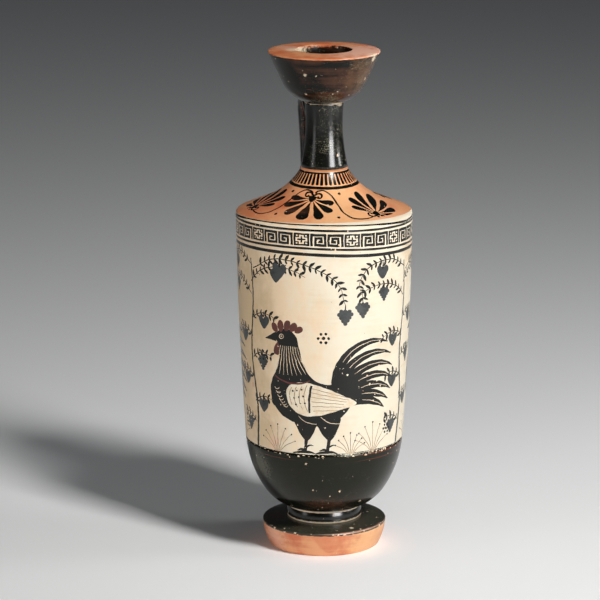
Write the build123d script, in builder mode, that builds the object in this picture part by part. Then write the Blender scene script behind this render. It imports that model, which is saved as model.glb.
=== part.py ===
"""A tall oil flask (lekythos): turned clay pieces luted together, with a strap handle behind.

The origin is the middle of the resting ring, +Z is up and the handle stands on the +Y side.
Points are (radius, height) pairs, turned about the axis.
"""
from build123d import *
from math import radians, tan
import os

# Whole vessel
total_height = 301.0
luting = 0.6                      # thickness of the slip in every joint

# Foot
foot_edge = (37.3, 14.8)
foot_bulge = (36.0, 7.4)          # half-way up the side
foot_base_radius = 33.2
foot_hollow_radius = 25.0
foot_hollow_height = 5.0
foot_edge_rounding = 0.7
seat_height = 16.8                # flat top of the foot

# Ring between foot and body
ring_base_radius = 22.5
ring_bulge_radius = 22.6
ring_top_radius = 21.8
ring_top = 24.0
ring_groove = 0.5
stub_radius = 15.5

# Body, outside
belly_root_radius = 21.7
belly_turn = (36.8, 35.6)         # where the low curve opens into the belly
white_edge = (47.2, 67.0)         # lower edge of the white ground
wall_middle = (50.8, 135.8)
wall_top = (52.5, 204.6)
shoulder_edge_rounding = 1.6
cone_angle = 22.6                 # slope of the shoulder, in degrees
cone_inner_radius = 34.6          # above this the shoulder curves up to the collar
collar_radius = 14.2
collar_top = 230.0

# Body, inside
hole_radius = 10.0
hole_depth = 6.5
shoulder_thickness = 5.6
inner_shoulder_radius = 30.0
inner_wall_top = (47.2, 198.0)
inner_wall_middle = (45.6, 135.8)
inner_belly = (42.2, 67.0)
inner_turn = (31.0, 41.5)
floor_height = 34.0

# White ground
coat_thickness = 0.4
coat_shoulder_radius = 46.2       # upper edge, on the shoulder

# Neck
bore_radius = 7.0
spigot_length = 3.6
spigot_radius = 9.4
neck_waist = (11.1, 254.0)
neck_top_radius = 11.7
mouth_base = 270.6

# Mouth
rim_radius = 33.4
rim_drop = 0.8                    # the lip falls this much from its crest to the rim
rim_rounding = 0.8
lip_radius = 16.4                 # opening in the lip
lip_rounding = 0.8
flank_foot = (24.6, 281.2)        # lower end of the straight flank
mouth_base_radius = 12.3
funnel_middle = (13.2, 283.8)

# Handle
strap_width = 15.3                # at its narrowest
strap_thickness = 6.6
neck_end_width = 18.6
shoulder_end_width = 17.0
shoulder_end_thickness = 8.0
strap_rounding = 0.42             # share of the thickness
strap_taper = (0.36, 0.72)        # stretch over which it narrows, as shares of the length
handle_reach = 34.2               # middle of the strap, from the axis
handle_root_height = 258.5
handle_bend_height = 278.0        # where the two straight runs would meet
handle_bend_radius = 10.0
handle_foot_reach = 31.0
strap_start = 3.0                 # the strap runs into the neck and is cut to fit
strap_end_height = 208.0          # and into the shoulder

neck_foot = (collar_radius, collar_top + luting)
neck_top = (neck_top_radius, mouth_base - luting)
socket_radius = spigot_radius + luting


def cone_point(radius, lift=0.0):
    """Point of the shoulder's straight cone at a radius."""
    rise = (wall_top[0] - radius) * tan(radians(cone_angle))
    return (radius, wall_top[1] + rise + lift)


with BuildPart() as foot:
    with BuildSketch(Plane.XZ):
        with BuildLine():
            Polyline((0, foot_hollow_height), (0, seat_height), (ring_base_radius, seat_height), foot_edge)
            ThreePointArc(foot_edge, foot_bulge, (foot_base_radius, 0))
            Line((foot_base_radius, 0), (foot_hollow_radius, 0))
            TangentArc((0, foot_hollow_height), (foot_hollow_radius, 0), tangent=(1, 0))
        make_face()
        fillet(vertices().sort_by(Axis.X)[-2:], foot_edge_rounding)
    revolve(axis=Axis.Z)
foot.part.label = "foot"

with BuildPart() as foot_joint_slip:
    with BuildSketch(Plane.XY.offset(seat_height)):
        Circle(stub_radius)
    extrude(amount=luting)
foot_joint_slip.part.label = "foot_joint_slip"

with BuildPart() as fillet_ring:
    with BuildSketch(Plane.XZ):
        with BuildLine():
            Polyline(
                (ring_base_radius, seat_height),
                (stub_radius, seat_height),
                (stub_radius, ring_top),
                (ring_top_radius, ring_top),
            )
            ThreePointArc(
                (ring_top_radius, ring_top),
                (ring_bulge_radius, (seat_height + ring_top) / 2),
                (ring_base_radius, seat_height),
            )
        make_face()
        chamfer(vertices().group_by(Axis.X)[-1] + vertices().group_by(Axis.X)[-2], ring_groove)
    revolve(axis=Axis.Z)
fillet_ring.part.label = "fillet_ring"

# The white ground follows the wall and folds over the edge of the shoulder
with BuildPart() as white_ground_coat:
    with BuildSketch(Plane.XZ):
        with BuildLine():
            wall = ThreePointArc(white_edge, wall_middle, wall_top)
            Line(wall_top, cone_point(coat_shoulder_radius))
            fillet(vertices().sort_by(Axis.X)[-1], shoulder_edge_rounding)
            offset(amount=coat_thickness, side=Side.LEFT)
        make_face()
    revolve(axis=Axis.Z)
white_ground_coat.part.label = "white_ground_coat"

with BuildPart() as body:
    with BuildSketch(Plane.XZ):
        with BuildLine():
            stub_base = seat_height + luting
            Polyline(
                (0, floor_height),
                (0, stub_base),
                (stub_radius, stub_base),
                (stub_radius, ring_top),
                (belly_root_radius, ring_top),
            )
            wall = ThreePointArc(wall_top, wall_middle, white_edge)
            belly = TangentArc(white_edge, belly_turn, tangent=wall % 1)
            TangentArc(belly_turn, (belly_root_radius, ring_top), tangent=belly % 1)
            cone = Line(wall_top, cone_point(cone_inner_radius))
            TangentArc(cone @ 1, (collar_radius, collar_top), tangent=cone % 1)
            hole_base = (hole_radius, collar_top - hole_depth)
            inner_cone_top = cone_point(inner_shoulder_radius, -shoulder_thickness)
            inner_cone_foot = cone_point(inner_wall_top[0], -shoulder_thickness)
            Polyline((collar_radius, collar_top), (hole_radius, collar_top), hole_base)
            inner_cone = Line(inner_cone_foot, inner_cone_top)
            TangentArc(inner_cone_top, hole_base, tangent=inner_cone % 1)
            Line(inner_cone_foot, inner_wall_top)
            inner_wall = ThreePointArc(inner_wall_top, inner_wall_middle, inner_belly)
            TangentArc(inner_belly, inner_turn, tangent=inner_wall % 1)
            TangentArc((0, floor_height), inner_turn, tangent=(1, 0))
        make_face()
        fillet(vertices().sort_by(Axis.X)[-1], shoulder_edge_rounding)
    revolve(axis=Axis.Z)
    add(white_ground_coat.part, mode=Mode.SUBTRACT)
body.part.label = "body"

with BuildPart() as neck:
    with BuildSketch(Plane.XZ):
        with BuildLine():
            ThreePointArc(neck_foot, neck_waist, neck_top)
            Polyline(
                neck_top,
                (spigot_radius, neck_top[1]),
                (spigot_radius, mouth_base + spigot_length),
                (bore_radius, mouth_base + spigot_length),
                (bore_radius, collar_top - spigot_length),
                (spigot_radius, collar_top - spigot_length),
                (spigot_radius, neck_foot[1]),
                neck_foot,
            )
        make_face()
    revolve(axis=Axis.Z)
neck.part.label = "neck"

# Slip fills the step beside each spigot and the flat ring around it
with BuildPart() as neck_joint_slip:
    with BuildSketch(Plane.XZ):
        with BuildLine():
            Polyline(
                (spigot_radius, collar_top - spigot_length),
                (hole_radius, collar_top - spigot_length),
                (hole_radius, collar_top),
                (collar_radius, collar_top),
                neck_foot,
                (spigot_radius, neck_foot[1]),
                close=True,
            )
        make_face()
    revolve(axis=Axis.Z)
neck_joint_slip.part.label = "neck_joint_slip"

with BuildPart() as mouth_joint_slip:
    with BuildSketch(Plane.XZ):
        with BuildLine():
            Polyline(
                (spigot_radius, mouth_base + spigot_length),
                (socket_radius, mouth_base + spigot_length),
                (socket_radius, mouth_base),
                (neck_top_radius, mouth_base),
                neck_top,
                (spigot_radius, neck_top[1]),
                close=True,
            )
        make_face()
    revolve(axis=Axis.Z)
mouth_joint_slip.part.label = "mouth_joint_slip"

with BuildPart() as mouth:
    with BuildSketch(Plane.XZ):
        with BuildLine():
            crest = (lip_radius, total_height)
            rim = (rim_radius, total_height - rim_drop)
            throat = (bore_radius, mouth_base + spigot_length)
            TangentArc(crest, rim, tangent=(1, 0))
            flank = Line(rim, flank_foot)
            TangentArc(flank_foot, (mouth_base_radius, mouth_base), tangent=flank % 1)
            Polyline(
                (mouth_base_radius, mouth_base),
                (socket_radius, mouth_base),
                (socket_radius, throat[1]),
                throat,
            )
            ThreePointArc(throat, funnel_middle, crest)
        make_face()
        fillet(vertices().sort_by(Axis.X)[-1], rim_rounding)
        fillet(vertices().group_by(Axis.Y)[-1], lip_rounding)
    revolve(axis=Axis.Z)
mouth.part.label = "mouth"

# The strap is pulled as one length, broad over the bend, then cut to the curves that it joins
with BuildPart() as strap:
    with BuildLine(Plane.YZ) as run:
        FilletPolyline(
            (strap_start, handle_root_height),
            (handle_reach, handle_bend_height),
            (handle_foot_reach, strap_end_height),
            radius=handle_bend_radius,
        )
    path = run.wires()[0]
    stations = {
        0.0: (neck_end_width, strap_thickness),
        strap_taper[0]: (neck_end_width, strap_thickness),
        strap_taper[1]: (strap_width, strap_thickness),
        1.0: (shoulder_end_width, shoulder_end_thickness),
    }
    for place, (width, thickness) in stations.items():
        with BuildSketch(Plane(path @ place, x_dir=(1, 0, 0), z_dir=path % place)):
            RectangleRounded(width, thickness, thickness * strap_rounding)
    sweep(path=path, multisection=True)

with BuildPart() as neck_core:
    with BuildSketch(Plane.XZ):
        with BuildLine():
            ThreePointArc(neck_foot, neck_waist, neck_top)
            Polyline(neck_top, (0, neck_top[1]), (0, neck_foot[1]), neck_foot)
        make_face()
    revolve(axis=Axis.Z)

with BuildPart() as neck_skin:
    add(neck_core.part)
    offset(amount=luting)

with BuildPart() as shoulder_core:
    with BuildSketch(Plane.XZ):
        with BuildLine():
            cone = Line(wall_top, cone_point(cone_inner_radius))
            TangentArc(cone @ 1, (collar_radius, collar_top), tangent=cone % 1)
            Polyline((collar_radius, collar_top), (0, collar_top), (0, wall_top[1]), wall_top)
        make_face()
    revolve(axis=Axis.Z)

with BuildPart() as shoulder_skin:
    add(shoulder_core.part)
    offset(amount=luting)

with BuildPart() as handle_neck_slip:
    add(strap.part)
    add(neck_skin.part, mode=Mode.INTERSECT)
    add(neck_core.part, mode=Mode.SUBTRACT)
handle_neck_slip.part.label = "handle_neck_slip"

with BuildPart() as handle_shoulder_slip:
    add(strap.part)
    add(shoulder_skin.part, mode=Mode.INTERSECT)
    add(shoulder_core.part, mode=Mode.SUBTRACT)
handle_shoulder_slip.part.label = "handle_shoulder_slip"

with BuildPart() as handle:
    add(strap.part)
    add(neck_skin.part, mode=Mode.SUBTRACT)
    add(shoulder_skin.part, mode=Mode.SUBTRACT)
handle.part.label = "handle"

os.makedirs("parts", exist_ok=True)
pieces = (
    foot,
    foot_joint_slip,
    fillet_ring,
    body,
    white_ground_coat,
    neck_joint_slip,
    neck,
    mouth_joint_slip,
    mouth,
    handle,
    handle_neck_slip,
    handle_shoulder_slip,
)
for piece in pieces:
    export_step(piece.part, f"parts/{piece.part.label}.step")
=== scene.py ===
"""Looks of a turned and painted oil flask (lekythos), built around its CAD frame.

Every piece is turned from the same outlines as the frame. Painted stretches are meshes cut along
the brush strokes, so that each stroke is made of faces of its own with the gloss's material.
"""
import math
import random
from collections import namedtuple

import bmesh
import bpy
import numpy as np
from bpy.props import FloatProperty, FloatVectorProperty, IntProperty, PointerProperty
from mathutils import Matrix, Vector
from mathutils.geometry import delaunay_2d_cdt


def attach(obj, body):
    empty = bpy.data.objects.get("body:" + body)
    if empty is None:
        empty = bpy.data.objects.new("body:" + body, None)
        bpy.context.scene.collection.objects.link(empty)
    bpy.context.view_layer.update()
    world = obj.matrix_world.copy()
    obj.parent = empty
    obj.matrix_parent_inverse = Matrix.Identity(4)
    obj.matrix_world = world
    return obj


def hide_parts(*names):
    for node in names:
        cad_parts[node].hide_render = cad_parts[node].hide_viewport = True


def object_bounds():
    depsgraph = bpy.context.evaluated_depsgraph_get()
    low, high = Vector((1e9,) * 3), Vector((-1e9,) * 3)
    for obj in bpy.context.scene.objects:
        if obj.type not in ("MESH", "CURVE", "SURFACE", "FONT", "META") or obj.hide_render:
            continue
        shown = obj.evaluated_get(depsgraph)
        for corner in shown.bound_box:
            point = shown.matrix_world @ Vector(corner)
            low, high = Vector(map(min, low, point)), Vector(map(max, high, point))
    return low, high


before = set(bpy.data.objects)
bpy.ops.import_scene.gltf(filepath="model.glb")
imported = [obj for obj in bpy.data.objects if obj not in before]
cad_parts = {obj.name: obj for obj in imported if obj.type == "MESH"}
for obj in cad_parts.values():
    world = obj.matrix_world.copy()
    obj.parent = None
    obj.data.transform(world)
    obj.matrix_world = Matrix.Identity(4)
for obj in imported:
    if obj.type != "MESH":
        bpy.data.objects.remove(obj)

bl_info = {
    "name": "Painted Oil Flask",
    "version": (1, 0, 0),
    "blender": (4, 5, 0),
    "location": "View3D > Sidebar > Flask",
    "description": "Dresses the turned pieces of an oil flask in gloss, bare clay and painted white ground",
    "category": "Object",
}

CAD_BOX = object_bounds()
MM = 0.001

# Outline of the vessel as (radius, height) in millimetres, as the frame has it
TOTAL_HEIGHT = CAD_BOX[1].z / MM
LUTING = 0.6
FOOT_EDGE = (37.3, 14.8)
FOOT_BULGE = (36.0, 7.4)
FOOT_BASE_RADIUS = 33.2
FOOT_HOLLOW_RADIUS = 25.0
FOOT_HOLLOW_HEIGHT = 5.0
SEAT_HEIGHT = 16.8
RING_BASE_RADIUS = 22.5
RING_BULGE_RADIUS = 22.6
RING_TOP_RADIUS = 21.8
RING_TOP = 24.0
STUB_RADIUS = 15.5
BELLY_ROOT_RADIUS = 21.7
BELLY_TURN = (36.8, 35.6)
WHITE_EDGE = (47.2, 67.0)
WALL_MIDDLE = (50.8, 135.8)
WALL_TOP = (52.5, 204.6)
CONE_ANGLE = math.radians(22.6)
CONE_RISE = (-math.cos(CONE_ANGLE), math.sin(CONE_ANGLE))
CONE_INNER_RADIUS = 34.6
COLLAR = (14.2, 230.0)
HOLE_RADIUS = 10.0
HOLE_DEPTH = 6.5
SHOULDER_THICKNESS = 5.6
INNER_SHOULDER_RADIUS = 30.0
INNER_WALL_TOP = (47.2, 198.0)
INNER_WALL_MIDDLE = (45.6, 135.8)
INNER_BELLY = (42.2, 67.0)
INNER_TURN = (31.0, 41.5)
FLOOR_HEIGHT = 34.0
COAT_THICKNESS = 0.4
COAT_SHOULDER_RADIUS = 46.2
BORE_RADIUS = 7.0
SPIGOT_LENGTH = 3.6
SPIGOT_RADIUS = 9.4
NECK_WAIST = (11.1, 254.0)
NECK_TOP_RADIUS = 11.7
MOUTH_BASE = 270.6
MOUTH_BASE_RADIUS = 12.3
FLANK_FOOT = (24.6, 281.2)
RIM_RADIUS = 33.4
RIM_DROP = 0.8
LIP_RADIUS = 16.4
FUNNEL_MIDDLE = (13.2, 283.8)

# Roundings of the visible edges, in millimetres
SHOULDER_SOFTNESS = 1.4
RIM_SOFTNESS = 0.9
LIP_SOFTNESS = 0.9
FOOT_SOFTNESS = 0.8
RING_GROOVE = 0.5

# Size of the hand-made drift of the turned forms and of the relief in the finishes, in millimetres
DRIFT = 0.055
RELIEF = 0.1

# Ornament: heights and radii on the vessel in millimetres, with the width of each line
ORNAMENT_EDGE_RADIUS = 46.5
TONGUE_LINE_RADIUS = 20.2
BAND_LINES = ((203.58, 1.35), (192.95, 1.35), (189.55, 1.9))
KEY_BAND = (194.6, 201.9)
GROUND_LINE = 67.5

# Small palmettes: their size against the large ones, and the level and turn of each
SMALL_PALMETTE_SCALE = 0.72
SMALL_PALMETTE_PLACES = ((19, math.pi), (19, math.pi), (4, 0))

# Stage: lengths in metres, the sensor in millimetres
FLOOR_REACH = 6
FLOOR_ROUGHNESS = 0.8
SKY_COLOUR = (0.8, 0.86, 0.92, 1)
KEY_SPREAD = math.radians(120)
SENSOR_WIDTH = 36

# Fineness of the meshes
COLUMNS = 160
ROUND = np.linspace(-math.pi, math.pi, COLUMNS + 1)
SAMPLE_STEP = 0.5
LONGEST_ROW = 3.2
SHARPEST_TURN = math.radians(6)

# Paints, which are also the material slots of a painted piece
GROUND, BLACK, THIN, WASH, SCRATCH, RED, PALE, CLAY = range(8)

# What a finish lays on a surface: its colour, roughness and relief
Coat = namedtuple("Coat", "colour roughness relief")


def linear(red, green, blue):
    """Scene-linear colour of a display colour given as 0 to 255."""
    shares = (red / 255, green / 255, blue / 255)
    return tuple(s / 12.92 if s <= 0.04045 else ((s + 0.055) / 1.055) ** 2.4 for s in shares)


class FlaskOrnament(bpy.types.PropertyGroup):
    """Counts and places of the painted ornament."""

    front: FloatProperty(
        name="Front", description="Where the middle palmette stands, from the side opposite the handle",
        default=math.radians(-27.2), subtype="ANGLE",
    )
    palmette_step: FloatProperty(
        name="Palmette Step", description="Angle between neighbouring palmettes",
        default=math.radians(60.2), subtype="ANGLE",
    )
    back_palmettes: FloatVectorProperty(
        name="Back Palmettes",
        description="Where the smaller palmettes beside the handle are: two hang, one stands",
        size=3, default=(math.radians(-142), math.radians(103), math.radians(145)), subtype="EULER",
    )
    tongues: IntProperty(
        name="Tongues", description="Strokes in the row at the root of the neck", default=43, min=8,
    )
    key_repeats: IntProperty(
        name="Key Repeats", description="Groups of two key squares and a cross square", default=11, min=3,
    )
    key_turn: FloatProperty(
        name="Key Turn", description="Where a cross square stands", default=math.radians(6.1),
        subtype="ANGLE",
    )
    birds: IntProperty(
        name="Birds", description="Cocks around the white ground", default=3, min=1, max=3,
    )
    bird_front: FloatProperty(
        name="Bird Front", description="Where the first cock stands", default=math.radians(-17),
        subtype="ANGLE",
    )
    bird_height: FloatProperty(
        name="Bird Height", description="Height of a cock, from its feet to its comb",
        default=0.082, min=0.02, max=0.11, unit="LENGTH",
    )
    stem_share: FloatProperty(
        name="Stem Share", description="How far a stem stands along the way from one cock to the next",
        default=0.575, min=0, max=1, subtype="FACTOR",
    )
    seed: IntProperty(name="Seed", description="Seed of the scattered paint losses", default=7)


class FlaskColours(bpy.types.PropertyGroup):
    """Colours of the clay, slips and paints."""

    # Also laid over the mouth's left as painted shade.
    gloss: FloatVectorProperty(
        name="Gloss", description="Black gloss where it fired well",
        default=linear(13, 14, 10), subtype="COLOR", min=0, max=1,
    )
    brown_gloss: FloatVectorProperty(
        name="Brown Gloss", description="Black gloss where it fired brown",
        default=linear(70, 44, 31), subtype="COLOR", min=0, max=1,
    )
    # Also laid high on the handle's side towards the neck, partly as a painted highlight.
    red_gloss: FloatVectorProperty(
        name="Red Gloss", description="Thin gloss that fired red",
        default=linear(120, 58, 40), subtype="COLOR", min=0, max=1,
    )
    clay: FloatVectorProperty(
        name="Clay", description="Bare burnished clay",
        default=linear(222, 156, 110), subtype="COLOR", min=0, max=1,
    )
    # Also laid over the shoulder's left, partly as painted shade.
    red_clay: FloatVectorProperty(
        name="Red Clay", description="Bare clay where it is redder",
        default=linear(200, 108, 68), subtype="COLOR", min=0, max=1,
    )
    # Also laid on the foot's right side as a painted highlight.
    pale_clay: FloatVectorProperty(
        name="Pale Clay", description="Bare clay where it is paler and yellower",
        default=linear(240, 192, 138), subtype="COLOR", min=0, max=1,
    )
    white: FloatVectorProperty(
        name="White Ground", description="Pale slip under the picture",
        default=linear(231, 220, 198), subtype="COLOR", min=0, max=1,
    )
    stain: FloatVectorProperty(
        name="Stain", description="Warm stain in the white ground",
        default=linear(214, 186, 148), subtype="COLOR", min=0, max=1,
    )
    # Also laid inside the funnel on the left, partly as a painted highlight.
    chip: FloatVectorProperty(
        name="Chip", description="Ground that shows where paint is lost",
        default=linear(234, 214, 184), subtype="COLOR", min=0, max=1,
    )
    # Also laid on the mouth's right, partly as painted sheen.
    dusty: FloatVectorProperty(
        name="Dull Gloss", description="Gloss where it is rubbed dull",
        default=linear(112, 110, 92), subtype="COLOR", min=0, max=1,
    )
    # Also laid on the lip's right, partly as painted sheen, and along the foot's edge, partly as a painted
    # highlight.
    rosy: FloatVectorProperty(
        name="Rosy Wear and Sheen", description="Clay where it is worn pale and rosy",
        default=linear(232, 178, 154), subtype="COLOR", min=0, max=1,
    )
    # Also laid on the mouth's right, partly as painted sheen.
    thinned: FloatVectorProperty(
        name="Thinned Gloss", description="Fine lines in thinned gloss",
        default=linear(122, 88, 58), subtype="COLOR", min=0, max=1,
    )
    wash: FloatVectorProperty(
        name="Wash", description="Broad touches in weak gloss",
        default=linear(58, 62, 62), subtype="COLOR", min=0, max=1,
    )
    added_red: FloatVectorProperty(
        name="Added Red", description="Dull red over the gloss",
        default=linear(98, 42, 36), subtype="COLOR", min=0, max=1,
    )


class FlaskStage(bpy.types.PropertyGroup):
    """Lights, floor and camera."""

    key_power: FloatProperty(
        name="Key Light", description="Power of the soft light high on the right",
        default=8.1, min=0, subtype="POWER",
    )
    strip_power: FloatProperty(
        name="Strip Light", description="Power of the low light on the right that only gives shine",
        default=27, min=0, subtype="POWER",
    )
    side_power: FloatProperty(
        name="Side Light", description="Power of the weak light far on the right",
        default=3.6, min=0, subtype="POWER",
    )
    card_power: FloatProperty(
        name="Left Card", description="Power of the weak light low on the left",
        default=1.0, min=0, subtype="POWER",
    )
    fill_power: FloatProperty(
        name="Fill Light", description="Power of the soft light beside the camera",
        default=14.9, min=0, subtype="POWER",
    )
    sky: FloatProperty(name="Sky", description="Strength of the even light all round", default=0.03, min=0)
    floor: FloatVectorProperty(
        name="Floor", description="Colour of the floor", default=linear(248, 250, 251), subtype="COLOR",
        min=0, max=1,
    )
    azimuth: FloatProperty(
        name="Camera Azimuth", description="Camera's turn about the vessel", default=math.radians(-12),
        subtype="ANGLE",
    )
    distance: FloatProperty(
        name="Camera Distance", description="Camera's distance from the axis", default=1.85, unit="LENGTH",
    )
    height: FloatProperty(
        name="Camera Height", description="Camera's height above the floor", default=0.5976, unit="LENGTH",
    )
    aim: FloatProperty(
        name="Aim Height", description="Height that the camera points at", default=0.1497, unit="LENGTH",
    )
    lens: FloatProperty(
        name="Lens", description="Focal length on a 36 mm sensor", default=191.3, subtype="NONE",
    )
    shift: FloatProperty(name="Shift", description="Sideways shift of the picture", default=-0.0403)


# Lines and arcs of the turned outlines


def line_between(start, end):
    """Points along a straight line."""
    start, end = np.array(start, float), np.array(end, float)
    steps = max(1, math.ceil(np.linalg.norm(end - start) / SAMPLE_STEP))
    return start + np.linspace(0, 1, steps + 1)[:, None] * (end - start)


def arc_about(centre, start, turn):
    """Points of an arc about a centre, and the heading at its end."""
    spoke = np.array(start, float) - centre
    radius, first = np.hypot(*spoke), math.atan2(spoke[1], spoke[0])
    steps = max(6, math.ceil(abs(turn) * radius / SAMPLE_STEP), math.ceil(abs(turn) / SHARPEST_TURN * 2))
    angles = first + np.linspace(0, turn, steps + 1)
    points = centre + radius * np.stack([np.cos(angles), np.sin(angles)], axis=1)
    last = angles[-1]
    return points, math.copysign(1, turn) * np.array([-math.sin(last), math.cos(last)])


def arc_through(start, middle, end):
    """Arc through three points."""
    a, b, c = (np.array(p, float) for p in (start, middle, end))
    centre = np.linalg.solve(2 * np.array([b - a, c - a]), [b @ b - a @ a, c @ c - a @ a])
    angles = np.unwrap([math.atan2(*(p - centre)[::-1]) for p in (a, b, c)])
    return arc_about(centre, a, angles[2] - angles[0])


def arc_leaving(start, heading, end):
    """Arc that leaves the start along a heading and meets the end."""
    start, end = np.array(start, float), np.array(end, float)
    heading = np.array(heading, float) / np.linalg.norm(heading)
    side = np.array([-heading[1], heading[0]])
    chord = end - start
    radius = chord @ chord / (2 * chord @ side)
    centre = start + radius * side
    spokes = [p - centre for p in (start, end)]
    turn = math.atan2(spokes[1][1], spokes[1][0]) - math.atan2(spokes[0][1], spokes[0][0])
    turn = turn % math.tau if radius > 0 else -((-turn) % math.tau)
    return arc_about(centre, start, turn)


def chain(*stretches):
    """Joins stretches of points that meet end to end."""
    return np.concatenate([stretches[0]] + [s[1:] for s in stretches[1:]])


def straight_runs(*corners):
    """Points along straight lines from corner to corner."""
    return chain(*[line_between(a, b) for a, b in zip(corners, corners[1:])])


def lengths_along(points):
    """Distance along a line of points, from its start."""
    return np.concatenate([[0], np.cumsum(np.linalg.norm(np.diff(points, axis=0), axis=1))])


def nearest_index(points, place):
    """Index of the point nearest to a place."""
    return int(np.argmin(np.linalg.norm(points - np.array(place, float), axis=1)))


def soften(points, corner, reach):
    """Rounds one corner of an outline, from a reach before it to a reach after it."""
    along = lengths_along(points)
    at = along[nearest_index(points, corner)]
    before, after = along < at - reach, along > at + reach
    ends = [np.array([np.interp(at + d, along, points[:, k]) for k in (0, 1)]) for d in (-reach, reach)]
    t = np.linspace(0, 1, 9)[:, None]
    curve = (1 - t) ** 2 * ends[0] + 2 * t * (1 - t) * np.array(corner) + t ** 2 * ends[1]
    return np.concatenate([points[before], curve, points[after]])


def cone_point(radius, lift=0.0):
    """Point of the shoulder's straight cone at a radius."""
    return (radius, WALL_TOP[1] + (WALL_TOP[0] - radius) * math.tan(CONE_ANGLE) + lift)


def wall_line():
    """Wall from the shoulder's edge down to the lower edge of the white ground, and its last heading."""
    return arc_through(WALL_TOP, WALL_MIDDLE, WHITE_EDGE)


def coat_face():
    """Painted face of the white ground, from its lower edge up and over the edge of the shoulder."""
    wall = wall_line()[0][::-1]
    points = chain(wall, line_between(WALL_TOP, cone_point(COAT_SHOULDER_RADIUS)))
    return soften(points, WALL_TOP, SHOULDER_SOFTNESS)


def normals_along(points):
    """Outward normals of a line of points that runs up the outside."""
    tangent = np.gradient(points, axis=0)
    tangent /= np.linalg.norm(tangent, axis=1)[:, None]
    return np.stack([tangent[:, 1], -tangent[:, 0]], axis=1)


def coat_bed():
    """Back of the white ground, which is also its bed in the wall."""
    face = coat_face()
    return face - COAT_THICKNESS * normals_along(face)


def shoulder_face():
    """Shoulder from the white ground's upper edge up to the collar."""
    cone = line_between(cone_point(COAT_SHOULDER_RADIUS), cone_point(CONE_INNER_RADIUS))
    return chain(cone, arc_leaving(cone[-1], CONE_RISE, COLLAR)[0])


def body_outline():
    """Closed outline of the body, from the stub's middle up the outside and down the inside."""
    belly, heading = arc_leaving(WHITE_EDGE, wall_line()[1], BELLY_TURN)
    low = arc_leaving(BELLY_TURN, heading, (BELLY_ROOT_RADIUS, RING_TOP))[0]
    base = SEAT_HEIGHT + LUTING
    stub = [(0, base), (STUB_RADIUS, base), (STUB_RADIUS, RING_TOP), (BELLY_ROOT_RADIUS, RING_TOP)]
    outside = chain(straight_runs(*stub), chain(belly, low)[::-1])
    bed, shoulder = coat_bed(), shoulder_face()
    hole_base = (HOLE_RADIUS, COLLAR[1] - HOLE_DEPTH)
    cone_top = cone_point(INNER_SHOULDER_RADIUS, -SHOULDER_THICKNESS)
    cone_foot = cone_point(INNER_WALL_TOP[0], -SHOULDER_THICKNESS)
    inner_wall, fall = arc_through(INNER_WALL_TOP, INNER_WALL_MIDDLE, INNER_BELLY)
    inside = chain(
        straight_runs(COLLAR, (HOLE_RADIUS, COLLAR[1]), hole_base),
        arc_leaving(cone_top, CONE_RISE, hole_base)[0][::-1],
        straight_runs(cone_top, cone_foot, INNER_WALL_TOP),
        inner_wall,
        arc_leaving(INNER_BELLY, fall, INNER_TURN)[0],
        arc_leaving((0, FLOOR_HEIGHT), (1, 0), INNER_TURN)[0][::-1],
    )
    step_in = line_between(WHITE_EDGE, bed[0])
    step_out = line_between(bed[-1], shoulder[0])
    return chain(outside, step_in, bed, step_out, shoulder, inside)


def coat_outline():
    """Closed outline of the white ground."""
    face, bed = coat_face(), coat_bed()
    return chain(face, line_between(face[-1], bed[-1]), bed[::-1], line_between(bed[0], face[0]))


def neck_outline():
    """Closed outline of the neck with its two spigots."""
    foot, top = (COLLAR[0], COLLAR[1] + LUTING), (NECK_TOP_RADIUS, MOUTH_BASE - LUTING)
    corners = [
        top, (SPIGOT_RADIUS, top[1]), (SPIGOT_RADIUS, MOUTH_BASE + SPIGOT_LENGTH),
        (BORE_RADIUS, MOUTH_BASE + SPIGOT_LENGTH), (BORE_RADIUS, COLLAR[1] - SPIGOT_LENGTH),
        (SPIGOT_RADIUS, COLLAR[1] - SPIGOT_LENGTH), (SPIGOT_RADIUS, foot[1]), foot,
    ]
    return chain(arc_through(foot, NECK_WAIST, top)[0], straight_runs(*corners))


def mouth_outline():
    """Closed outline of the mouth, from its root up the flank, over the lip and down the funnel."""
    crest, rim = (LIP_RADIUS, TOTAL_HEIGHT), (RIM_RADIUS, TOTAL_HEIGHT - RIM_DROP)
    throat = (BORE_RADIUS, MOUTH_BASE + SPIGOT_LENGTH)
    socket = SPIGOT_RADIUS + LUTING
    fall = np.subtract(FLANK_FOOT, rim)
    root = (MOUTH_BASE_RADIUS, MOUTH_BASE)
    outside = chain(arc_leaving(FLANK_FOOT, fall, root)[0][::-1], line_between(FLANK_FOOT, rim))
    lip = arc_leaving(crest, (1, 0), rim)[0][::-1]
    funnel = arc_through(throat, FUNNEL_MIDDLE, crest)[0][::-1]
    seat = [throat, (socket, throat[1]), (socket, MOUTH_BASE), root]
    points = chain(outside, lip, funnel, straight_runs(*seat))
    return soften(soften(points, rim, RIM_SOFTNESS), crest, LIP_SOFTNESS)


def foot_outline():
    """Closed outline of the foot, from the hollow under it up the side and over the top."""
    base, edge = (FOOT_BASE_RADIUS, 0), FOOT_EDGE
    points = chain(
        arc_leaving((0, FOOT_HOLLOW_HEIGHT), (1, 0), (FOOT_HOLLOW_RADIUS, 0))[0],
        line_between((FOOT_HOLLOW_RADIUS, 0), base),
        arc_through(base, FOOT_BULGE, edge)[0],
        straight_runs(edge, (RING_BASE_RADIUS, SEAT_HEIGHT), (0, SEAT_HEIGHT)),
    )
    return soften(soften(points, base, FOOT_SOFTNESS), edge, FOOT_SOFTNESS)


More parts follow.
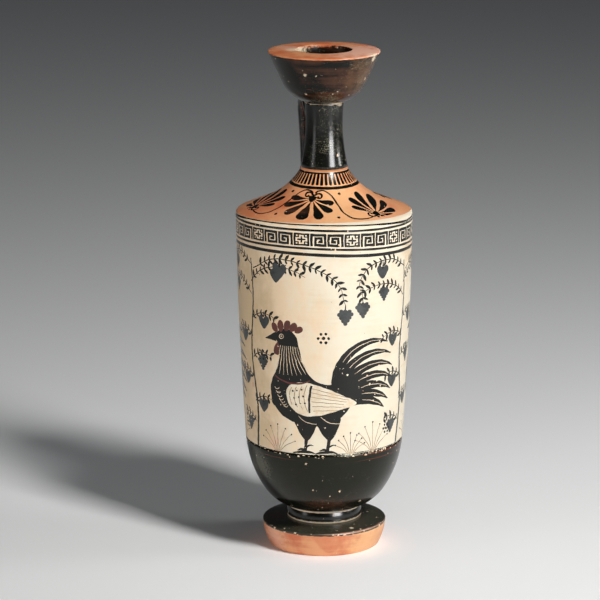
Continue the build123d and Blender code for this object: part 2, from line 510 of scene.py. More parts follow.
def ring_outline():
    """Closed outline of the ring between body and foot, with a groove at each edge."""
    low, high = (RING_BASE_RADIUS, SEAT_HEIGHT), (RING_TOP_RADIUS, RING_TOP)
    bulge = (RING_BULGE_RADIUS, (SEAT_HEIGHT + RING_TOP) / 2)
    side = arc_through((low[0], low[1] + RING_GROOVE), bulge, (high[0], high[1] - RING_GROOVE))[0]
    corners = [
        side[-1], (high[0] - RING_GROOVE, high[1]), (STUB_RADIUS, RING_TOP), (STUB_RADIUS, SEAT_HEIGHT),
        (low[0] - RING_GROOVE, low[1]), side[0],
    ]
    return chain(side, straight_runs(*corners))


# Turning the outlines into meshes


def hand_drift(angle, radius, height):
    """How far the hand and the kiln drew a point in towards the axis, in millimetres."""
    highest = 2.1
    waves = (
        np.sin(2 * angle + 0.013 * height + 0.6)
        + 0.6 * np.sin(3 * angle - 0.021 * height + 2.1)
        + 0.5 * np.sin(angle + 0.09 * height)
    )
    return DRIFT * (highest + waves) * np.minimum(1, radius / 10)


def turned_points(angle, radius, height):
    """Places in metres of points given by angle from the front, radius and height in millimetres."""
    angle, radius, height = np.broadcast_arrays(angle, radius, height)
    radius = radius - hand_drift(angle, radius, height)
    return np.stack([radius * np.sin(angle), -radius * np.cos(angle), height], axis=-1) * MM


def row_places(points, keep):
    """Indices of the outline's points that carry a row of the mesh: closer where it curves."""
    along = lengths_along(points)
    steps = np.diff(points, axis=0)
    headings = np.unwrap(np.arctan2(steps[:, 1], steps[:, 0]))
    rows = [0]
    for k in range(1, len(points) - 1):
        turned = abs(headings[k] - headings[rows[-1]])
        if k in keep or turned > SHARPEST_TURN or along[k + 1] - along[rows[-1]] > LONGEST_ROW:
            rows.append(k)
    return rows + [len(points) - 1]


class Painting:
    """Brush strokes on one stretch of an outline, laid down in order.

    A shape is an outline of (angle, length along the stretch) points and its paint.
    """

    def __init__(self, face, sag=None):
        self.face = face
        self.sag = sag
        self.along = lengths_along(face)
        self.normals = normals_along(face)
        self.shapes = []

    def radius(self, along):
        """Radius of the stretch at a length along it."""
        return np.interp(along, self.along, self.face[:, 0])

    def at_height(self, height):
        """Length along the stretch where it reaches a height."""
        return float(np.interp(height, self.face[:, 1], self.along))

    def at_radius(self, radius):
        """Length along the stretch where it narrows to a radius."""
        return float(np.interp(-radius, -self.face[:, 0], self.along))

    def aims(self, angles, levels):
        """Outward normals at points of the stretch."""
        lean, rise = (np.interp(levels, self.along, self.normals[:, k]) for k in (0, 1))
        parts = (lean * np.sin(angles), -lean * np.cos(angles), rise)
        return np.stack(np.broadcast_arrays(*parts), axis=-1)

    def sunk(self, angles, levels):
        """Levels that follow the sinking of the bands."""
        if not self.sag:
            return levels
        return levels - self.sag(angles, np.interp(levels, self.along, self.face[:, 1]))

    def add(self, motif, angle, along, turn=0.0):
        """Paints a motif, drawn in millimetres, about a point of the stretch."""
        for outline, paint in moved(motif, turn=turn):
            levels = along + outline[:, 1]
            angles = angle + outline[:, 0] / self.radius(levels)
            self.shapes.append((np.stack([angles, self.sunk(angles, levels)], axis=1), paint))

    def strip(self, lower, upper, paint):
        """Paints right round the vessel between two lines of levels."""
        edges = [np.stack([ROUND, levels], axis=1) for levels in (lower, upper)]
        self.shapes.append((np.concatenate([edges[0], edges[1][::-1]]), paint))

    def line(self, levels, width, paint, waver=0.12):
        """Paints a line right round the vessel, with a slight waver."""
        level = levels[0]
        middle = levels + waver * (np.sin(2 * ROUND + level) + 0.6 * np.sin(5 * ROUND + 2 * level))
        half = width / 2 + 0.4 * waver * np.sin(23 * ROUND + 7 * level)
        middle[-1], half[-1] = middle[0], half[0]
        self.strip(middle - half, middle + half, paint)

    def band(self, low, high, paint, waver=0.12):
        """Paints a line between two levels, which sinks with the bands."""
        self.line(self.sunk(ROUND, np.full_like(ROUND, (low + high) / 2)), high - low, paint, waver)


def wrapped(angle):
    """The same direction as an angle within half a turn of the front."""
    return (angle + math.pi) % math.tau - math.pi


def unsteady(points):
    """Lets a line of (distance round, length along) points tremble as a brush does."""
    x, y = points[:, 0], points[:, 1]
    dx = 0.10 * np.sin(0.9 * y + 0.7 * x) + 0.05 * np.sin(2.3 * y - 1.9 * x + 1)
    dy = 0.10 * np.sin(0.8 * x - 0.5 * y + 2) + 0.05 * np.sin(2.6 * x + 1.7 * y)
    return points + np.stack([dx, dy], axis=1)


def finely(points, longest=1.4):
    """Adds points to a closed outline so that no side is long."""
    ends = np.roll(points, -1, axis=0)
    result = []
    for a, b in zip(points, ends):
        steps = max(1, math.ceil(np.hypot(*(b - a)) / longest))
        result += [a + (b - a) * k / steps for k in range(steps)]
    return np.array(result)


def counter_clockwise(points):
    """The outline in the order that the triangulation expects."""
    x, y = points[:, 0], points[:, 1]
    area = np.sum(x * np.roll(y, -1) - y * np.roll(x, -1))
    return points if area > 0 else points[::-1]


def cut_along_strokes(painting, rows):
    """Triangles of a painted stretch: points as (angle, length), triples of indices and paints."""
    mean_radius = float(painting.face[:, 0].mean())
    reach = math.pi * mean_radius
    levels = painting.along[rows]
    across = np.linspace(-reach, reach, COLUMNS + 1)
    points = [(x, y) for y in levels for x in across]
    columns, count = COLUMNS + 1, len(levels)
    border = (
        list(range(columns)) + [k * columns + COLUMNS for k in range(1, count)]
        + [(count - 1) * columns + k for k in range(COLUMNS - 1, -1, -1)]
        + [k * columns for k in range(count - 2, 0, -1)]
    )
    polygons, paints = [border], [GROUND]
    for outline, paint in painting.shapes:
        flat = np.stack([outline[:, 0] * mean_radius, outline[:, 1]], axis=1)
        if len(flat) < 2 * COLUMNS:
            flat = unsteady(finely(flat))
        flat = counter_clockwise(flat)
        for shift in (-2 * reach, 0, 2 * reach):
            copy = flat + (shift, 0)
            if copy[:, 0].max() < -reach or copy[:, 0].min() > reach:
                continue
            polygons.append(list(range(len(points), len(points) + len(copy))))
            points += [tuple(p) for p in copy]
            paints.append(paint)
    vectors = [Vector(p) for p in points]
    verts, _, faces, _, _, owners = delaunay_2d_cdt(vectors, [], polygons, 1, 1e-4, True)
    places = np.array([(v.x / mean_radius, v.y) for v in verts])
    inside = [(face, paints[max(owner)]) for face, owner in zip(faces, owners) if 0 in owner]
    return places, [face for face, _ in inside], [paint for _, paint in inside]


def turned_mesh(name, outline, slot_of, painting):
    """Mesh of a closed outline turned about the axis, with a painted stretch where one is given."""
    along = lengths_along(outline)
    first = last = -1
    if painting:
        first = nearest_index(outline, painting.face[0])
        last = nearest_index(outline, painting.face[-1])
    rows = row_places(outline, {first, last})
    shape = bmesh.new()
    chart = shape.loops.layers.uv.new("OFBake")
    true_normal = shape.verts.layers.float_vector.new("true_normal")

    def add_face(corners, charts, slot):
        """Adds a smooth face with its places on the chart."""
        face = shape.faces.new(corners)
        face.smooth = True
        face.material_index = slot
        for loop, place in zip(face.loops, charts):
            loop[chart].uv = place

    grid = {}
    for row in rows:
        if first < row < last:
            continue
        grid[row] = [shape.verts.new(p) for p in turned_points(ROUND, *outline[row])]
        if painting and row in (first, last):
            aims = painting.aims(ROUND, painting.along[0 if row == first else -1])
            for vert, aim in zip(grid[row], aims):
                vert[true_normal] = aim
    for low, high in zip(rows, rows[1:]):
        if first <= low < last:
            continue
        slot = slot_of(*(outline[low] + outline[high]) / 2)
        for k in range(COLUMNS):
            around = [(k, low), (k + 1, low), (k + 1, high), (k, high)]
            corners = [grid[row][column] for column, row in around]
            charts = [(column / COLUMNS, along[row] / along[-1]) for column, row in around]
            add_face(corners, charts, slot)
    if painting:
        levels = [nearest_index(painting.face, outline[r]) for r in rows if first <= r <= last]
        places, faces, paints = cut_along_strokes(painting, levels)
        radius, height = (np.interp(places[:, 1], painting.along, painting.face[:, k]) for k in (0, 1))
        verts = [shape.verts.new(p) for p in turned_points(places[:, 0], radius, height)]
        for vert, aim in zip(verts, painting.aims(places[:, 0], places[:, 1])):
            vert[true_normal] = aim
        charts = np.stack([places[:, 0] / math.tau + 0.5, (along[first] + places[:, 1]) / along[-1]], axis=1)
        for face, paint in zip(faces, paints):
            add_face([verts[k] for k in face], [charts[k] for k in face], paint)
    bmesh.ops.remove_doubles(shape, verts=shape.verts, dist=2e-6)
    bmesh.ops.recalc_face_normals(shape, faces=shape.faces)
    aims = [tuple(vert[true_normal]) for vert in shape.verts]
    mesh = bpy.data.meshes.new(name)
    shape.to_mesh(mesh)
    shape.free()
    if painting:
        mesh.normals_split_custom_set_from_vertices(aims)
    return mesh


def first_slot(*_):
    """The first material, wherever a face lies."""
    return 0


def add_turned(name, outline, materials, slot, *nodes, slot_of=first_slot, painting=None):
    """Adds a finished turned piece that stands for CAD nodes."""
    mesh = turned_mesh(name, outline, slot_of, painting)
    piece = bpy.data.objects.new(name, mesh)
    bpy.context.scene.collection.objects.link(piece)
    for material in materials:
        mesh.materials.append(material)
    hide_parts(*nodes)
    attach(piece, "root")


# Brushwork. A motif is a list of (outline in millimetres, paint)


def curve(points, closed=False, per_span=7):
    """Smooth line through a few points."""
    points = np.array(points, float)
    if closed:
        padded = np.concatenate([points[-1:], points, points[:2]])
    else:
        padded = np.concatenate([[2 * points[0] - points[1]], points, [2 * points[-1] - points[-2]]])
    t = np.linspace(0, 1, per_span, endpoint=False)[:, None]
    spans = []
    for a, b, c, d in zip(padded, padded[1:], padded[2:], padded[3:]):
        spans.append(b + 0.5 * t * (c - a + t * (2 * a - 5 * b + 4 * c - d + t * (3 * (b - c) + d - a))))
    return np.concatenate(spans if closed else spans + [points[-1:]])


def bent(x, y, heading, length, bend, steps=9):
    """Points of a line that leaves a point along a heading and bends evenly, with angles in degrees."""
    headings = np.radians(heading + bend * (np.arange(steps) + 0.5) / steps)
    moves = np.stack([np.cos(headings), np.sin(headings)], axis=1) * length / steps
    return np.concatenate([[(x, y)], (x, y) + np.cumsum(moves, axis=0)])


def blob(points, paint=BLACK):
    """A filled form with a smooth outline."""
    return [(curve(points, closed=True), paint)]


def stroke(points, widths, paint=BLACK, per_span=6):
    """A brush line through a few points; the widths are spread evenly along it."""
    line = curve(points, per_span=per_span)
    along = lengths_along(line)
    spread = np.interp(along / along[-1], np.linspace(0, 1, len(widths)), widths)
    tangent = np.gradient(line, axis=0)
    tangent /= np.linalg.norm(tangent, axis=1)[:, None]
    side = np.stack([-tangent[:, 1], tangent[:, 0]], axis=1) * spread[:, None] / 2
    left, right = line + side, line - side
    return [(np.array([right[k], right[k + 1], left[k + 1], left[k]]), paint) for k in range(len(line) - 1)]


def square_line(points, width, paint=BLACK):
    """A line of straight runs with square corners."""
    motif = []
    for a, b in zip(np.array(points, float), np.array(points[1:], float)):
        run = (b - a) / np.linalg.norm(b - a) * width / 2
        side = np.array([-run[1], run[0]])
        motif.append((np.array([a - run - side, b + run - side, b + run + side, a - run + side]), paint))
    return motif


def round_points(x, y, size, count):
    """Points of a circle."""
    turns = np.linspace(0, math.tau, count, endpoint=False)
    return np.stack([x + size / 2 * np.cos(turns), y + size / 2 * np.sin(turns)], axis=1)


def dot(x, y, size, paint=BLACK):
    """A round touch of the brush."""
    return [(round_points(x, y, size, 9), paint)]


def petal(length, width, paint=BLACK, heel=1.1, tip=0.45):
    """A leaf that widens from its root at the origin to a rounded end, along +Y."""
    share = np.sin(np.linspace(0, math.pi / 2, 13))
    half = share ** heel * (1 - share) ** tip
    half *= width / 2 / half.max()
    right = np.stack([half, share * length], axis=1)
    left = right[::-1] * (-1, 1)
    return [(np.concatenate([right[:-1], left[:-1]]), paint)]


def moved(motif, x=0.0, y=0.0, turn=0.0):
    """A motif turned about its origin and set down elsewhere."""
    cos, sin = math.cos(turn), math.sin(turn)
    turning = np.array([[cos, sin], [-sin, cos]])
    return [(outline @ turning + (x, y), paint) for outline, paint in motif]


def scaled(motif, size):
    """A motif made larger or smaller."""
    return [(outline * size, paint) for outline, paint in motif]


def mirrored(motif):
    """A motif seen in a mirror."""
    return [(outline * (-1, 1), paint) for outline, paint in motif]


def palmette():
    """Seven-leaved palmette that opens along +Y, with its volutes at the origin."""
    motif = blob([(-1.7, -0.6), (1.7, -0.6), (2.3, 1.6), (0, 4.4), (-2.3, 1.6)])
    leaves = {0: (20.6, 7.2), 33: (21.4, 5.3), 57: (18.8, 4.6), 81: (14.2, 4.2)}
    for degrees, (length, width) in leaves.items():
        leaf = moved(petal(length, width, heel=2.0, tip=0.5), y=1.6, turn=-math.radians(degrees))
        motif += leaf if degrees == 0 else leaf + mirrored(leaf)
    curl = [(0.5, -1.4), (1.7, -2.7), (3.2, -3.0), (4.7, -2.2), (5.1, -0.7), (4.2, 0.6), (2.9, 0.4)]
    volute = stroke(curl, [1.3, 1.3, 1.0], per_span=3) + dot(3.0, -0.1, 1.8)
    return motif + volute + mirrored(volute) + dot(0, -1.3, 1.5)


def key_square(width, height, line):
    """A square spiral key."""
    shares = [
        (0, 0), (0, 1), (1, 1), (1, 0), (0.3, 0), (0.3, 0.68), (0.72, 0.68), (0.72, 0.34), (0.56, 0.34),
    ]
    return square_line([(width * (x - 0.5), height * y) for x, y in shares], line)


def cross_square(width, height, line):
    """A black square with a pale cross that holds a thin black one."""
    half, mid = width / 2, height / 2
    square = np.array([(-1, -1), (1, -1), (1, 1), (-1, 1)])

    def tile(x, y, reach_x, reach_y, paint):
        """A rectangle about a point, in shares of the whole square."""
        return [(square * (reach_x * half, reach_y * mid) + (x * half, mid + y * mid), paint)]

    motif = tile(0, 0, 1, 1, BLACK) + tile(0, 0, 0.74, 0.31, GROUND) + tile(0, 0, 0.31, 0.74, GROUND)
    for x, y in square:
        motif += tile(0.6 * x, 0.6 * y, 0.11, 0.11, GROUND)
    motif += square_line([(-0.4 * half, mid), (0.4 * half, mid)], line)
    return motif + square_line([(0, 0.6 * mid), (0, 1.4 * mid)], line)


def spray(line, leaf, every, width=0.6, start=0.1):
    """A twig along a line, with small leaves in pairs."""
    motif = stroke(line, [width, width, 0.5 * width], per_span=3)
    along = lengths_along(line)
    for k, at in enumerate(np.arange(along[-1] * start, along[-1], every)):
        spots = [(at + ahead, axis) for ahead in (0, 0.6) for axis in (0, 1)]
        x, y, next_x, next_y = (np.interp(spot, along, line[:, axis]) for spot, axis in spots)
        heading = math.atan2(next_y - y, next_x - x) - math.pi / 2
        for side in (-1, 1):
            size = leaf * (0.85 + 0.2 * math.sin(5 * k + side))
            motif += moved(petal(size, 0.4 * size, BLACK, 0.7, 0.8), x, y, heading + side * 0.95)
    return motif


def heart_leaf(size):
    """An ivy leaf in weak gloss, on a short stalk that hangs from the origin."""
    half = [(0, -0.30), (0.30, -0.16), (0.5, -0.42), (0.36, -0.78), (0, -1.12)]
    points = [(size * x, size * y) for x, y in half + [(-x, y) for x, y in half[3:0:-1]]]
    return blob(points, WASH) + stroke([(0, 0.1 * size), (0, -0.4 * size)], [0.7, 1.0], per_span=2)


def berries(size):
    """A bunch of berries that hangs from the origin."""
    motif = stroke([(0, 0), (0, -0.3 * size)], [0.6, 0.6], per_span=2)
    for row, count in enumerate((3, 4, 3, 2, 1)):
        for k in range(count):
            x, y = (k - (count - 1) / 2) * 0.22 * size, -(0.34 + 0.17 * row) * size
            motif += dot(x, y, 0.25 * size, WASH)
    return motif


def rosette(size):
    """Six dots round a seventh."""
    motif = dot(0, 0, 0.36 * size)
    for x, y in round_points(0, 0, size, 6):
        motif += dot(x, y, 0.3 * size)
    return motif


def tuft(reach, count=7):
    """Blades of grass in thinned gloss that fan out from the origin, with seeds at their ends."""
    motif = []
    for k in range(count):
        lean = 2 * k / (count - 1) - 1
        blade = bent(1.6 * lean, 0, 90 - 34 * lean, reach * (1 - 0.25 * abs(lean)), -38 * lean, 5)
        motif += stroke(blade, [0.5, 0.4, 0.3], THIN, 2)
        motif += dot(*blade[-1], 1.0)
    return motif


# Height that the parts of a cock are drawn at
COCK_HEIGHT = 92


def cock_tail():
    """Sickle feathers that rise from the rump and curl over behind it."""
    motif = []
    for k in range(7):
        share = k / 6
        feather = bent(13 + 8 * share, 45 - 9 * share, 98 - 84 * share, 60 - 30 * share, -122 + 66 * share)
        motif += stroke(feather, [6.5, 6.5, 6.0, 4.2, 0.5], per_span=3)
        motif += stroke(feather[3:-1], [0.3, 0.5, 0.3], SCRATCH, 3)
    return motif


def cock_leg(x):
    """Thigh, shank, spur and toes of one leg that stands at x."""
    motif = blob([(x - 8, 25), (x + 7, 26), (x + 5.4, 17), (x + 1.7, 10.5), (x - 1.4, 10.5), (x - 6, 17)])
    motif += stroke([(x, 12), (x - 0.6, 6.5), (x - 1.2, 1.5)], [2.6, 2.1, 2.4])
    for reach, lift in ((-9.5, 0.5), (-6.5, 2.6), (5.5, 0.6)):
        toe = [(x - 1.2, 1.7), (x + 0.5 * reach, lift + 1.1), (x + reach, lift)]
        motif += stroke(toe, [2.1, 1.7, 0.6], per_span=3)
    motif += stroke([(x - 0.8, 5), (x + 2.4, 6.6), (x + 4.6, 6.4)], [1.5, 1.1, 0.3], per_span=3)
    return motif + stroke(bent(x - 5.5, 26.5, -50, 15, 62), [0.3, 0.5, 0.3], SCRATCH, 2)


def cock_wing():
    """Pale wing with dotted coverts and feathers drawn in thinned gloss."""
    motif = blob([
        (-19, 47), (-9, 50), (4, 47), (16, 41.5), (27, 35), (15, 31), (2, 27.5), (-9, 27), (-17.5, 32),
        (-21, 40),
    ], PALE)
    for k in range(6):
        feather = bent(-5 + 0.5 * k, 46.5 - 3.2 * k, -14 + 3.5 * k, 29 - 2.4 * k, -4)
        motif += stroke(feather, [0.45, 0.4, 0.3], THIN, 2)
    for k in range(4):
        covert = bent(-6.5 - 3.6 * k, 48 - 0.7 * k, -118, 19 - 2.2 * k, 60)
        motif += stroke(covert, [0.45, 0.5, 0.4], THIN, 2)
    for k in range(9):
        row, column = divmod(k, 3)
        motif += dot(-16.5 + 3.1 * column + 1.1 * row, 43.5 - 4.6 * row + 0.7 * column, 1.3)
    return motif + stroke(bent(-3.5, 48, -105, 19, 22), [1.4, 1.6, 1.2], BLACK, 2)


def cock_head():
    """Comb, beak, wattle and eye."""
    motif = [(np.array([(-28.5, 83), (-28.5, 76.4), (-38, 77.4)]), BLACK)]
    for k in range(5):
        tooth = petal(8.6 - 0.9 * abs(k - 1.5), 4.6, RED, 0.6, 0.5)
        motif += moved(tooth, -28 + 3.3 * k, 82.5 + 0.7 * k - 0.35 * max(0, k - 2) ** 2, 0.45 - 0.36 * k)
    motif += moved(petal(9.5, 5.2, RED), -27.5, 76.5, math.pi - 0.1)
    motif += stroke(round_points(-24.5, 80.3, 3.2, 12)[[*range(12), 0]], [0.5], SCRATCH, 1)
    return motif + dot(-24.5, 80.3, 1.1, SCRATCH)


def cock():
    """A cock that stands at the origin and looks to the left."""
    motif = cock_tail() + blob([
        (-20, 86), (-26.5, 84), (-29.5, 80), (-27, 74.5), (-26, 67), (-28, 58), (-32, 50), (-33.5, 42),
        (-31, 33), (-24, 25.5), (-12, 21), (2, 20), (13, 23.5), (21, 31), (24, 39), (21, 47), (12, 48.5),
        (3, 49.5), (-4, 54), (-9, 62), (-11.5, 72), (-14, 81),
    ])
    motif += cock_leg(-7) + cock_leg(8) + cock_wing() + cock_head()
    for k in range(9):
        hackle = bent(-25.3 + 1.5 * k, 74, -97 + 2.2 * k, 20, -10 + 5.5 * k)
        motif += stroke(hackle, [0.35, 0.55, 0.2], SCRATCH, 2)
    for k in range(7):
        scale = bent(-30 + 1.1 * k, 45 - 2.9 * k + 0.16 * k * k, -80, 4.6, 150, 5)
        motif += stroke(scale, [0.35, 0.5, 0.35], SCRATCH, 2)
    return motif + stroke(bent(-29.5, 52.5, -32, 26, 58), [1.0, 1.2, 1.0], RED, 2)


def ivy_stem():
    """A stem that rises from the origin, with drooping twigs on both sides."""
    motif = stroke([(0, 0), (2, 26), (-1.6, 58), (1.6, 92), (0.2, 116)], [1.9, 1.5, 1.2, 0.8])
    twigs = [
        (15, 130, 16, 75), (28, 50, 16, -75), (42, 130, 18, 80), (55, 50, 18, -80), (68, 132, 20, 85),
        (79, 48, 22, -85), (94, 128, 40, 90), (102, 52, 44, -85),
    ]
    for k, (y, heading, length, bend) in enumerate(twigs):
        line = bent(0, y, heading, length, bend)
        motif += spray(line, 4.2, 3.6)
        motif += moved(heart_leaf(8.5) if k % 3 else berries(9.5), *line[5])
    return motif


def scattered_losses(painting, rng, count, levels, largest):
    """Small ragged spots where the paint has gone."""
    for _ in range(count):
        size = largest * (0.25 + 0.75 * rng.random() ** 3)
        reach = np.array([[0.55 + 0.45 * rng.random()] for _ in range(7)])
        spot = round_points(0, 0, size, 7) * reach * (1, 0.5 + 0.5 * rng.random())
        turn = rng.uniform(0, math.pi)
        painting.add([(spot, GROUND)], rng.uniform(-math.pi, math.pi), rng.uniform(*levels), turn)


def paint_shoulder(ornament):
    """Tongues, palmettes and tendrils on the shoulder."""
    painting = Painting(shoulder_face())
    top = painting.along[-1]
    ring_line = painting.at_radius(TONGUE_LINE_RADIUS)
    painting.band(top - 1.2, top + 0.3, BLACK, 0.05)
    painting.band(ring_line - 1.0, ring_line + 1.0, BLACK, 0.15)
    length = top - ring_line - 2.0
    half = [(0.5, 0), (0.85, 0.5), (0.9, 1.2), (0.85, 0.5 * length), (0.66, length)]
    tongue = [(np.array(half + [(-x, y) for x, y in half[::-1]]), BLACK)]
    for k in range(ornament.tongues):
        painting.add(tongue, (k + 0.5) / ornament.tongues * math.tau - math.pi, ring_line + 1.7)
    motif, base = palmette(), painting.at_radius(ORNAMENT_EDGE_RADIUS)
    painting.add(motif, ornament.front, base + 23.5, math.pi - 0.12)
    for side in (-1, 1):
        painting.add(motif, ornament.front + side * ornament.palmette_step, base + 3.1, -0.1 - side * 0.55)
        add_tendril(painting, ornament.front, side * ornament.palmette_step, base)
    for angle, (level, turn) in zip(ornament.back_palmettes, SMALL_PALMETTE_PLACES):
        painting.add(scaled(motif, SMALL_PALMETTE_SCALE), angle, base + level, turn)
    return painting


def add_tendril(painting, angle, step, base):
    """S-shaped line from the hanging palmette to a standing one, with a dot in each of its bends."""
    points = curve([
        (0.03, 26.4), (0.10, 28.0), (0.22, 28.4), (0.36, 26.5), (0.45, 22.7), (0.50, 17.6), (0.525, 12.0),
        (0.56, 7.0), (0.62, 3.2), (0.71, 1.3), (0.82, 1.0), (0.93, 2.0),
    ], per_span=3)
    levels = base + points[:, 1]
    across = (points[:, 0] - 0.5) * step * painting.radius(levels)
    line = np.stack([across, levels], axis=1)
    painting.add(stroke(line, [0.9, 1.1, 1.15, 0.9], per_span=1), angle + step / 2, 0)
    for share, level in ((0.62, 25.8), (0.45, 4.4)):
        painting.add(dot(0, 0, 2.1), angle + share * step, base + level)


def sinking(angles):
    """How far the painter let the upper bands sink round the vessel, in millimetres."""
    turn = angles + math.radians(38)
    return 0.2 + 2.4 * (1 - np.cos(turn)) + 0.6 * (1 - np.cos(2 * turn))


def band_sag(angles, heights):
    """How far a stroke at a height sinks with the bands."""
    return sinking(angles) * np.interp(heights, (120, 189, 193.5, 203.6), (0, 1, 1, 0.6))


def paint_shoulder_edge(painting):
    """Bare clay over the shoulder's edge and a line below it, which sink towards the handle."""
    edge = painting.at_radius(ORNAMENT_EDGE_RADIUS)
    turn = ROUND + math.radians(24)
    line_fall = 3.1 + np.minimum(3.0 * (1 - np.cos(turn)) + 1.3 * (1 - np.cos(2 * turn)), 5.0)
    clay_fall = np.minimum(0.8 + 6.0 * (1 - np.cos(ROUND)), np.minimum(line_fall - 1.0, 6.2))
    painting.strip(edge - clay_fall, np.full_like(ROUND, painting.along[-1] + 10), CLAY)
    painting.line(edge - line_fall, 1.3, BLACK)


def paint_key_band(painting, ornament):
    """Lines round the wall, and the key pattern with a cross square after every two keys."""
    for height, width in BAND_LINES:
        level = painting.at_height(height)
        painting.band(level - width / 2, level + width / 2, BLACK)
    low, high = (painting.at_height(height) for height in KEY_BAND)
    squares = 3 * ornament.key_repeats
    width = math.tau / squares * WALL_TOP[0]
    key = key_square(width - 2.0, high - low - 1.5, 1.5)
    cross = cross_square(width - 0.5, high - low, 1.0)
    for k in range(squares):
        angle = wrapped(ornament.key_turn + math.tau * k / squares)
        if k % 3 == 0:
            painting.add(cross, angle, low)
        else:
            painting.add(key if k % 3 == 1 else mirrored(key), angle, low + 0.75)


def paint_picture(painting, ornament, ground):
    """Cocks that stand on the ground line, with ivy stems between them and garlands above."""
    step = math.tau / ornament.birds
    bird, stem = scaled(cock(), ornament.bird_height / MM / COCK_HEIGHT), ivy_stem()
    garlands = [
        curve([(-44, 110), (-26, 118), (-4, 115), (12, 106), (17, 92)]),
        curve([(64, 112), (50, 118.5), (34, 116), (26, 106), (28, 96)]),
    ]
    for k in range(ornament.birds):
        painting.add(stem, wrapped(ornament.bird_front + (k + ornament.stem_share) * step), ground - 0.4)
    picture = []
    for line in garlands:
        picture += spray(line, 4.4, 3.8) + moved(berries(11), *line[-1])
    picture += moved(heart_leaf(9.5), -23, 117) + moved(heart_leaf(9), 42, 117)
    picture += moved(rosette(6), 4, 72) + moved(rosette(5.5), -37, 58) + moved(rosette(5), 46, 12)
    picture += moved(tuft(17), -25) + moved(tuft(13), 20) + moved(tuft(18), 35)
    for k in range(ornament.birds):
        painting.add(picture + bird, wrapped(ornament.bird_front + k * step), ground - 0.3)


def paint_white_ground(ornament):
    """Bands, key pattern and picture on the white ground."""
    painting = Painting(coat_face(), band_sag)
    paint_shoulder_edge(painting)
    paint_key_band(painting, ornament)
    ground = painting.at_height(GROUND_LINE)
    painting.band(0.02, ground, BLACK, 0.18)
    paint_picture(painting, ornament, ground)
    low, high = (painting.at_height(height) for height in KEY_BAND)
    rng = random.Random(ornament.seed)
    scattered_losses(painting, rng, 330, (ground + 10, ground + 90), 2.3)
    scattered_losses(painting, rng, 90, (low - 6, high + 6), 1.3)
    scattered_losses(painting, rng, 220, (0.1, ground + 0.4), 1.6)
    return painting


# Materials


class Wiring:
    """Adds nodes to one tree and joins their sockets. A value is an output socket or a constant."""

    def __init__(self, tree):
        self.tree = tree

    def node(self, kind, inputs=None, **settings):
        """A new node with its settings and the values of its inputs."""
        node = self.tree.nodes.new(kind)
        for key, value in settings.items():
            setattr(node, key, value)
        for key, value in (inputs or {}).items():
            self.feed(node.inputs[key], value)
        return node

    def feed(self, socket, value):
        """Gives an input its value."""
        if isinstance(value, bpy.types.NodeSocket):
            self.tree.links.new(value, socket)
        elif socket.type == "RGBA" and len(value) == 3:
            socket.default_value = (*value, 1)
        else:
            socket.default_value = value

    def group(self, tree, **inputs):
        """Outputs of a node group."""
        return self.node("ShaderNodeGroup", inputs, node_tree=tree).outputs

    def math(self, operation, first, second=0.0, third=None, clamp=False):
        """Outcome of an operation on numbers."""
        inputs = {0: first, 1: second}
        if third is not None:
            inputs[2] = third
        return self.node("ShaderNodeMath", inputs, operation=operation, use_clamp=clamp).outputs[0]

    def times(self, first, second):
        """Product of two numbers."""
        return self.math("MULTIPLY", first, second)

    def over(self, size):
        """One divided by a size."""
        return self.math("DIVIDE", 1.0, size)

    def most(self, first, second):
        """The larger of two numbers."""
        return self.math("MAXIMUM", first, second)

    def apart(self, first, second):
        """How far two numbers are apart."""
        return self.math("ABSOLUTE", self.math("SUBTRACT", first, second))

    def vector(self, operation, first, second=(0, 0, 0)):
        """Outcome of an operation on vectors, which is a number for a length or a dot product."""
        outputs = self.node("ShaderNodeVectorMath", {0: first, 1: second}, operation=operation).outputs
        return outputs["Value" if operation in ("LENGTH", "DOT_PRODUCT") else "Vector"]

    def mix(self, share, first, second):
        """Blend of two colours."""
        return self.node("ShaderNodeMix", {0: share, 6: first, 7: second}, data_type="RGBA").outputs[2]

    def between(self, share, first, second):
        """Blend of two numbers."""
        return self.node("ShaderNodeMix", {0: share, 2: first, 3: second}, data_type="FLOAT").outputs[0]

    def rise(self, value, low, high):
        """Smooth rise from nought at one value to one at another."""
        inputs = {"Value": value, "From Min": low, "From Max": high}
        return self.node("ShaderNodeMapRange", inputs, interpolation_type="SMOOTHSTEP").outputs["Result"]

    def swing(self, value, reach, middle):
        """A value about 0.5, scaled by a reach and laid about another middle."""
        return self.math("MULTIPLY_ADD", self.math("SUBTRACT", value, 0.5), reach, middle)

    def noise(self, vector, scale, detail=3.0, roughness=0.6):
        """Cloudy value about 0.5."""
        inputs = {"Vector": vector, "Scale": scale, "Detail": detail, "Roughness": roughness}
        return self.node("ShaderNodeTexNoise", inputs).outputs[0]

    def stretched(self, vector, scale):
        """A place with its axes scaled."""
        return self.node("ShaderNodeMapping", {"Vector": vector, "Scale": scale}).outputs[0]


def group_tree(name, inputs, *outputs):
    """A node group and, when it is new, its wiring and the sockets inside it."""
    if name in bpy.data.node_groups:
        return bpy.data.node_groups[name], None, None, None
    tree = bpy.data.node_groups.new(name, "ShaderNodeTree")
    for key, default in inputs.items():
        socket = tree.interface.new_socket(key, in_out="INPUT", socket_type="NodeSocketFloat")
        socket.default_value = default
    for key in outputs:
        kind = "NodeSocketVector" if key == "Place" else "NodeSocketFloat"
        tree.interface.new_socket(key, in_out="OUTPUT", socket_type=kind)
    start = tree.nodes.new("NodeGroupInput").outputs
    end = tree.nodes.new("NodeGroupOutput").inputs
    return tree, Wiring(tree), start, end


